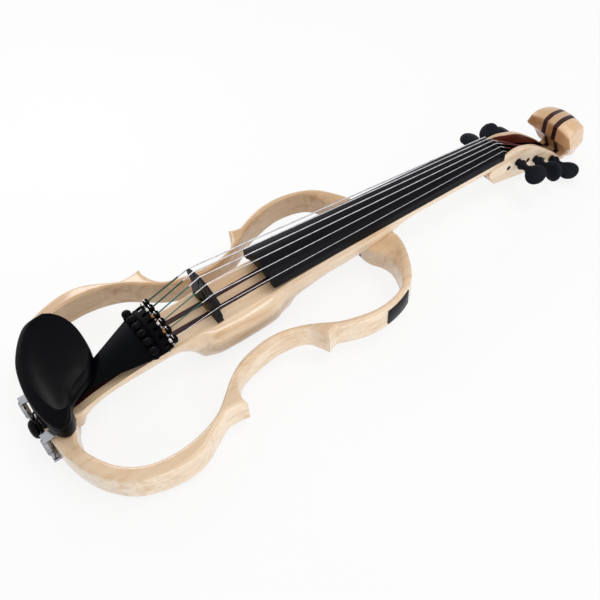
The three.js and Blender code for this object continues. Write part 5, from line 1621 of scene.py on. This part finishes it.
# Stage: floor, lamps, world and camera.
CAMERA_AT = Vector((-167.32, -406.57, 576.52)) * MM
CAMERA_TARGET = Vector((75.53, -24.82, 20)) * MM
CAMERA_ROLL = -0.08
CAMERA_LENS = 49.09
CAMERA_SHIFT = (0.0013, -0.0047)
SCROLL_REST_X = 440 * MM
FLOOR_X = (-4, 5)
FLOOR_Y = (-5, 5)
RAYS_TO_WHITE = ("Camera", "Glossy", "Transmission")


def lamp(name, at, target, size, power):
    """White rectangular lamp that faces a target."""
    data = bpy.data.lights.new(name, "AREA")
    data.shape = "RECTANGLE"
    data.size, data.size_y = size
    data.energy = power
    light = in_scene(name, data)
    light.location = at
    light.rotation_euler = (Vector(target) - Vector(at)).to_track_quat("-Z", "Y").to_euler()


class VIOLIN_OT_stage(bpy.types.Operator):
    """Build the floor, the lamps, the world and the camera"""

    bl_idname = "violin.stage"
    bl_label = "Stage"

    def execute(self, context):
        settings = context.scene.violin_stage
        # The part lies on its clamp bracket and its scroll, so the floor slopes under it.
        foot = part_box("lower_clamp_bracket")[0]
        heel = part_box("centre_lamination")[0]
        slope = (foot.z - heel.z) / (SCROLL_REST_X - foot.x)
        levels = []
        for piece in context.scene.objects:
            if piece.type == "MESH" and len(piece.data.vertices):
                spots = np.empty(3 * len(piece.data.vertices))
                piece.data.vertices.foreach_get("co", spots)
                levels.append((spots[2::3] + slope * spots[::3]).min())
        floor_z = min(levels) - 0.05 * MM
        points = [(x, y, floor_z - slope * x) for x in FLOOR_X for y in FLOOR_Y]
        floor = new_piece("studio floor", points, [(0, 2, 3, 1)])
        shade = Shade("white paper floor")
        tone = shade.noise(shade.place((3, 3, 3)), 1.0, 2.0, 0.5)
        colour = shade.ramp(tone, (0.3, (0.86, 0.86, 0.86, 1)), (0.7, (0.9, 0.9, 0.9, 1)))
        paper = shade.node("ShaderNodeBsdfDiffuse", inputs={"Color": colour})
        glow = shade.node("ShaderNodeEmission", inputs={"Color": (1, 1, 1, 1), "Strength": 1.0})
        lift = shade.white_rays() * settings.floor_glow
        mixed = shade.node("ShaderNodeMixShader", inputs={0: lift, 1: paper, 2: glow})
        shade.node("ShaderNodeOutputMaterial", inputs={"Surface": mixed})
        floor.data.materials.append(shade.material)
        context.scene.world = bpy.data.worlds.new("studio")
        sky = Shade("studio", context.scene.world)
        strength = sky.span(sky.white_rays(), 0, 1, settings.world_strength, 1)
        light = sky.node("ShaderNodeBackground", inputs={0: (1, 1, 1, 1), 1: strength})
        sky.node("ShaderNodeOutputWorld", inputs={"Surface": light})
        power = settings.lamp_power
        lamp("overhead softbox", (0.5, -0.35, 1.3), (0.12, 0, 0), (1.0, 0.7), power * 0.6)
        lamp("front softbox", (0.05, -1.3, 0.16), (0.05, 0, 0.02), (1.2, 0.26), power * 0.55)
        lamp("far softbox", (0.15, 1.15, 0.55), (0.1, 0, 0), (1.1, 0.3), power * 0.3)
        lamp("tail softbox", (0.02, 0.39, 0.35), (-0.13, 0.02, 0.04), (0.12, 0.12), power * 0.04)
        backward = (CAMERA_AT - CAMERA_TARGET).normalized()
        right = Vector((0, 0, 1)).cross(backward).normalized()
        up = backward.cross(right)
        c, s = math.cos(CAMERA_ROLL), math.sin(CAMERA_ROLL)
        right, up = c * right + s * up, c * up - s * right
        data = bpy.data.cameras.new("camera")
        data.sensor_width = 36
        data.lens = CAMERA_LENS
        data.shift_x, data.shift_y = CAMERA_SHIFT
        camera = in_scene("camera", data)
        pose = Matrix((right, up, backward)).transposed().to_4x4()
        pose.translation = CAMERA_AT
        camera.matrix_world = pose
        context.scene.camera = camera
        context.scene.view_settings.view_transform = "Standard"
        return {"FINISHED"}


class ViolinWood(bpy.types.PropertyGroup):
    tone: FloatVectorProperty(
        name="Maple Tone", description="Colour of the pale wood on a screen", subtype="COLOR",
        size=3, default=(0.925, 0.835, 0.705), min=0, max=1)
    rim_rounding: FloatProperty(
        name="Rim Rounding", description="Radius of the rim's upper edges", unit="LENGTH",
        default=3.4 * MM, min=0.5 * MM, max=5 * MM)
    scoop_depth: FloatProperty(
        name="Scoop Depth", description="Depth of the hollow in the rim beside the neck",
        unit="LENGTH", default=5.5 * MM, min=0, max=9 * MM)
    bar_softness: IntProperty(
        name="Bar Softness", description="How far the bar's edges are eased", default=3, min=0,
        max=12)


class ViolinFittings(bpy.types.PropertyGroup):
    thumb_width: FloatProperty(
        name="Thumb Piece Width", description="Width of a peg's thumb piece", unit="LENGTH",
        default=21.6 * MM, min=12 * MM, max=26 * MM)


class ViolinStage(bpy.types.PropertyGroup):
    lamp_power: FloatProperty(
        name="Lamp Power", description="Power of the main softbox", unit="POWER", default=10,
        min=0, max=200)
    world_strength: FloatProperty(
        name="World Strength", description="Even light from all round", default=0.58, min=0,
        max=2)
    floor_glow: FloatProperty(
        name="Floor Whiteness", description="How far the floor is lifted to white", default=0.84,
        subtype="FACTOR", min=0, max=1)


STEPS = (
    VIOLIN_OT_stage, VIOLIN_OT_body, VIOLIN_OT_fingerboard, VIOLIN_OT_bridge,
    VIOLIN_OT_tailpiece, VIOLIN_OT_strings, VIOLIN_OT_pegs, VIOLIN_OT_tail_fittings,
    VIOLIN_OT_chin_rest, VIOLIN_OT_electronics,
)


class VIOLIN_PT_panel(bpy.types.Panel):
    """Lists the settings and the steps that build the violin"""

    bl_label = "Electric Violin"
    bl_idname = "VIOLIN_PT_panel"
    bl_space_type = "VIEW_3D"
    bl_region_type = "UI"
    bl_category = "Violin"

    def draw(self, context):
        column = self.layout.column()
        scene = context.scene
        for group in (scene.violin_wood, scene.violin_fittings, scene.violin_stage):
            for key in group.__annotations__:
                column.prop(group, key)
        for step in STEPS:
            column.operator(step.bl_idname)


CLASSES = (ViolinWood, ViolinFittings, ViolinStage, *STEPS, VIOLIN_PT_panel)


def register():
    for entry in CLASSES:
        bpy.utils.register_class(entry)
    bpy.types.Scene.violin_wood = PointerProperty(type=ViolinWood)
    bpy.types.Scene.violin_fittings = PointerProperty(type=ViolinFittings)
    bpy.types.Scene.violin_stage = PointerProperty(type=ViolinStage)


def unregister():
    del bpy.types.Scene.violin_stage
    del bpy.types.Scene.violin_fittings
    del bpy.types.Scene.violin_wood
    for entry in reversed(CLASSES):
        bpy.utils.unregister_class(entry)


def main():
    register()
    for step in STEPS:
        group, name = step.bl_idname.split(".")
        getattr(getattr(bpy.ops, group), name)()
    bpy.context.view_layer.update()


if __name__ == "__main__":
    main()
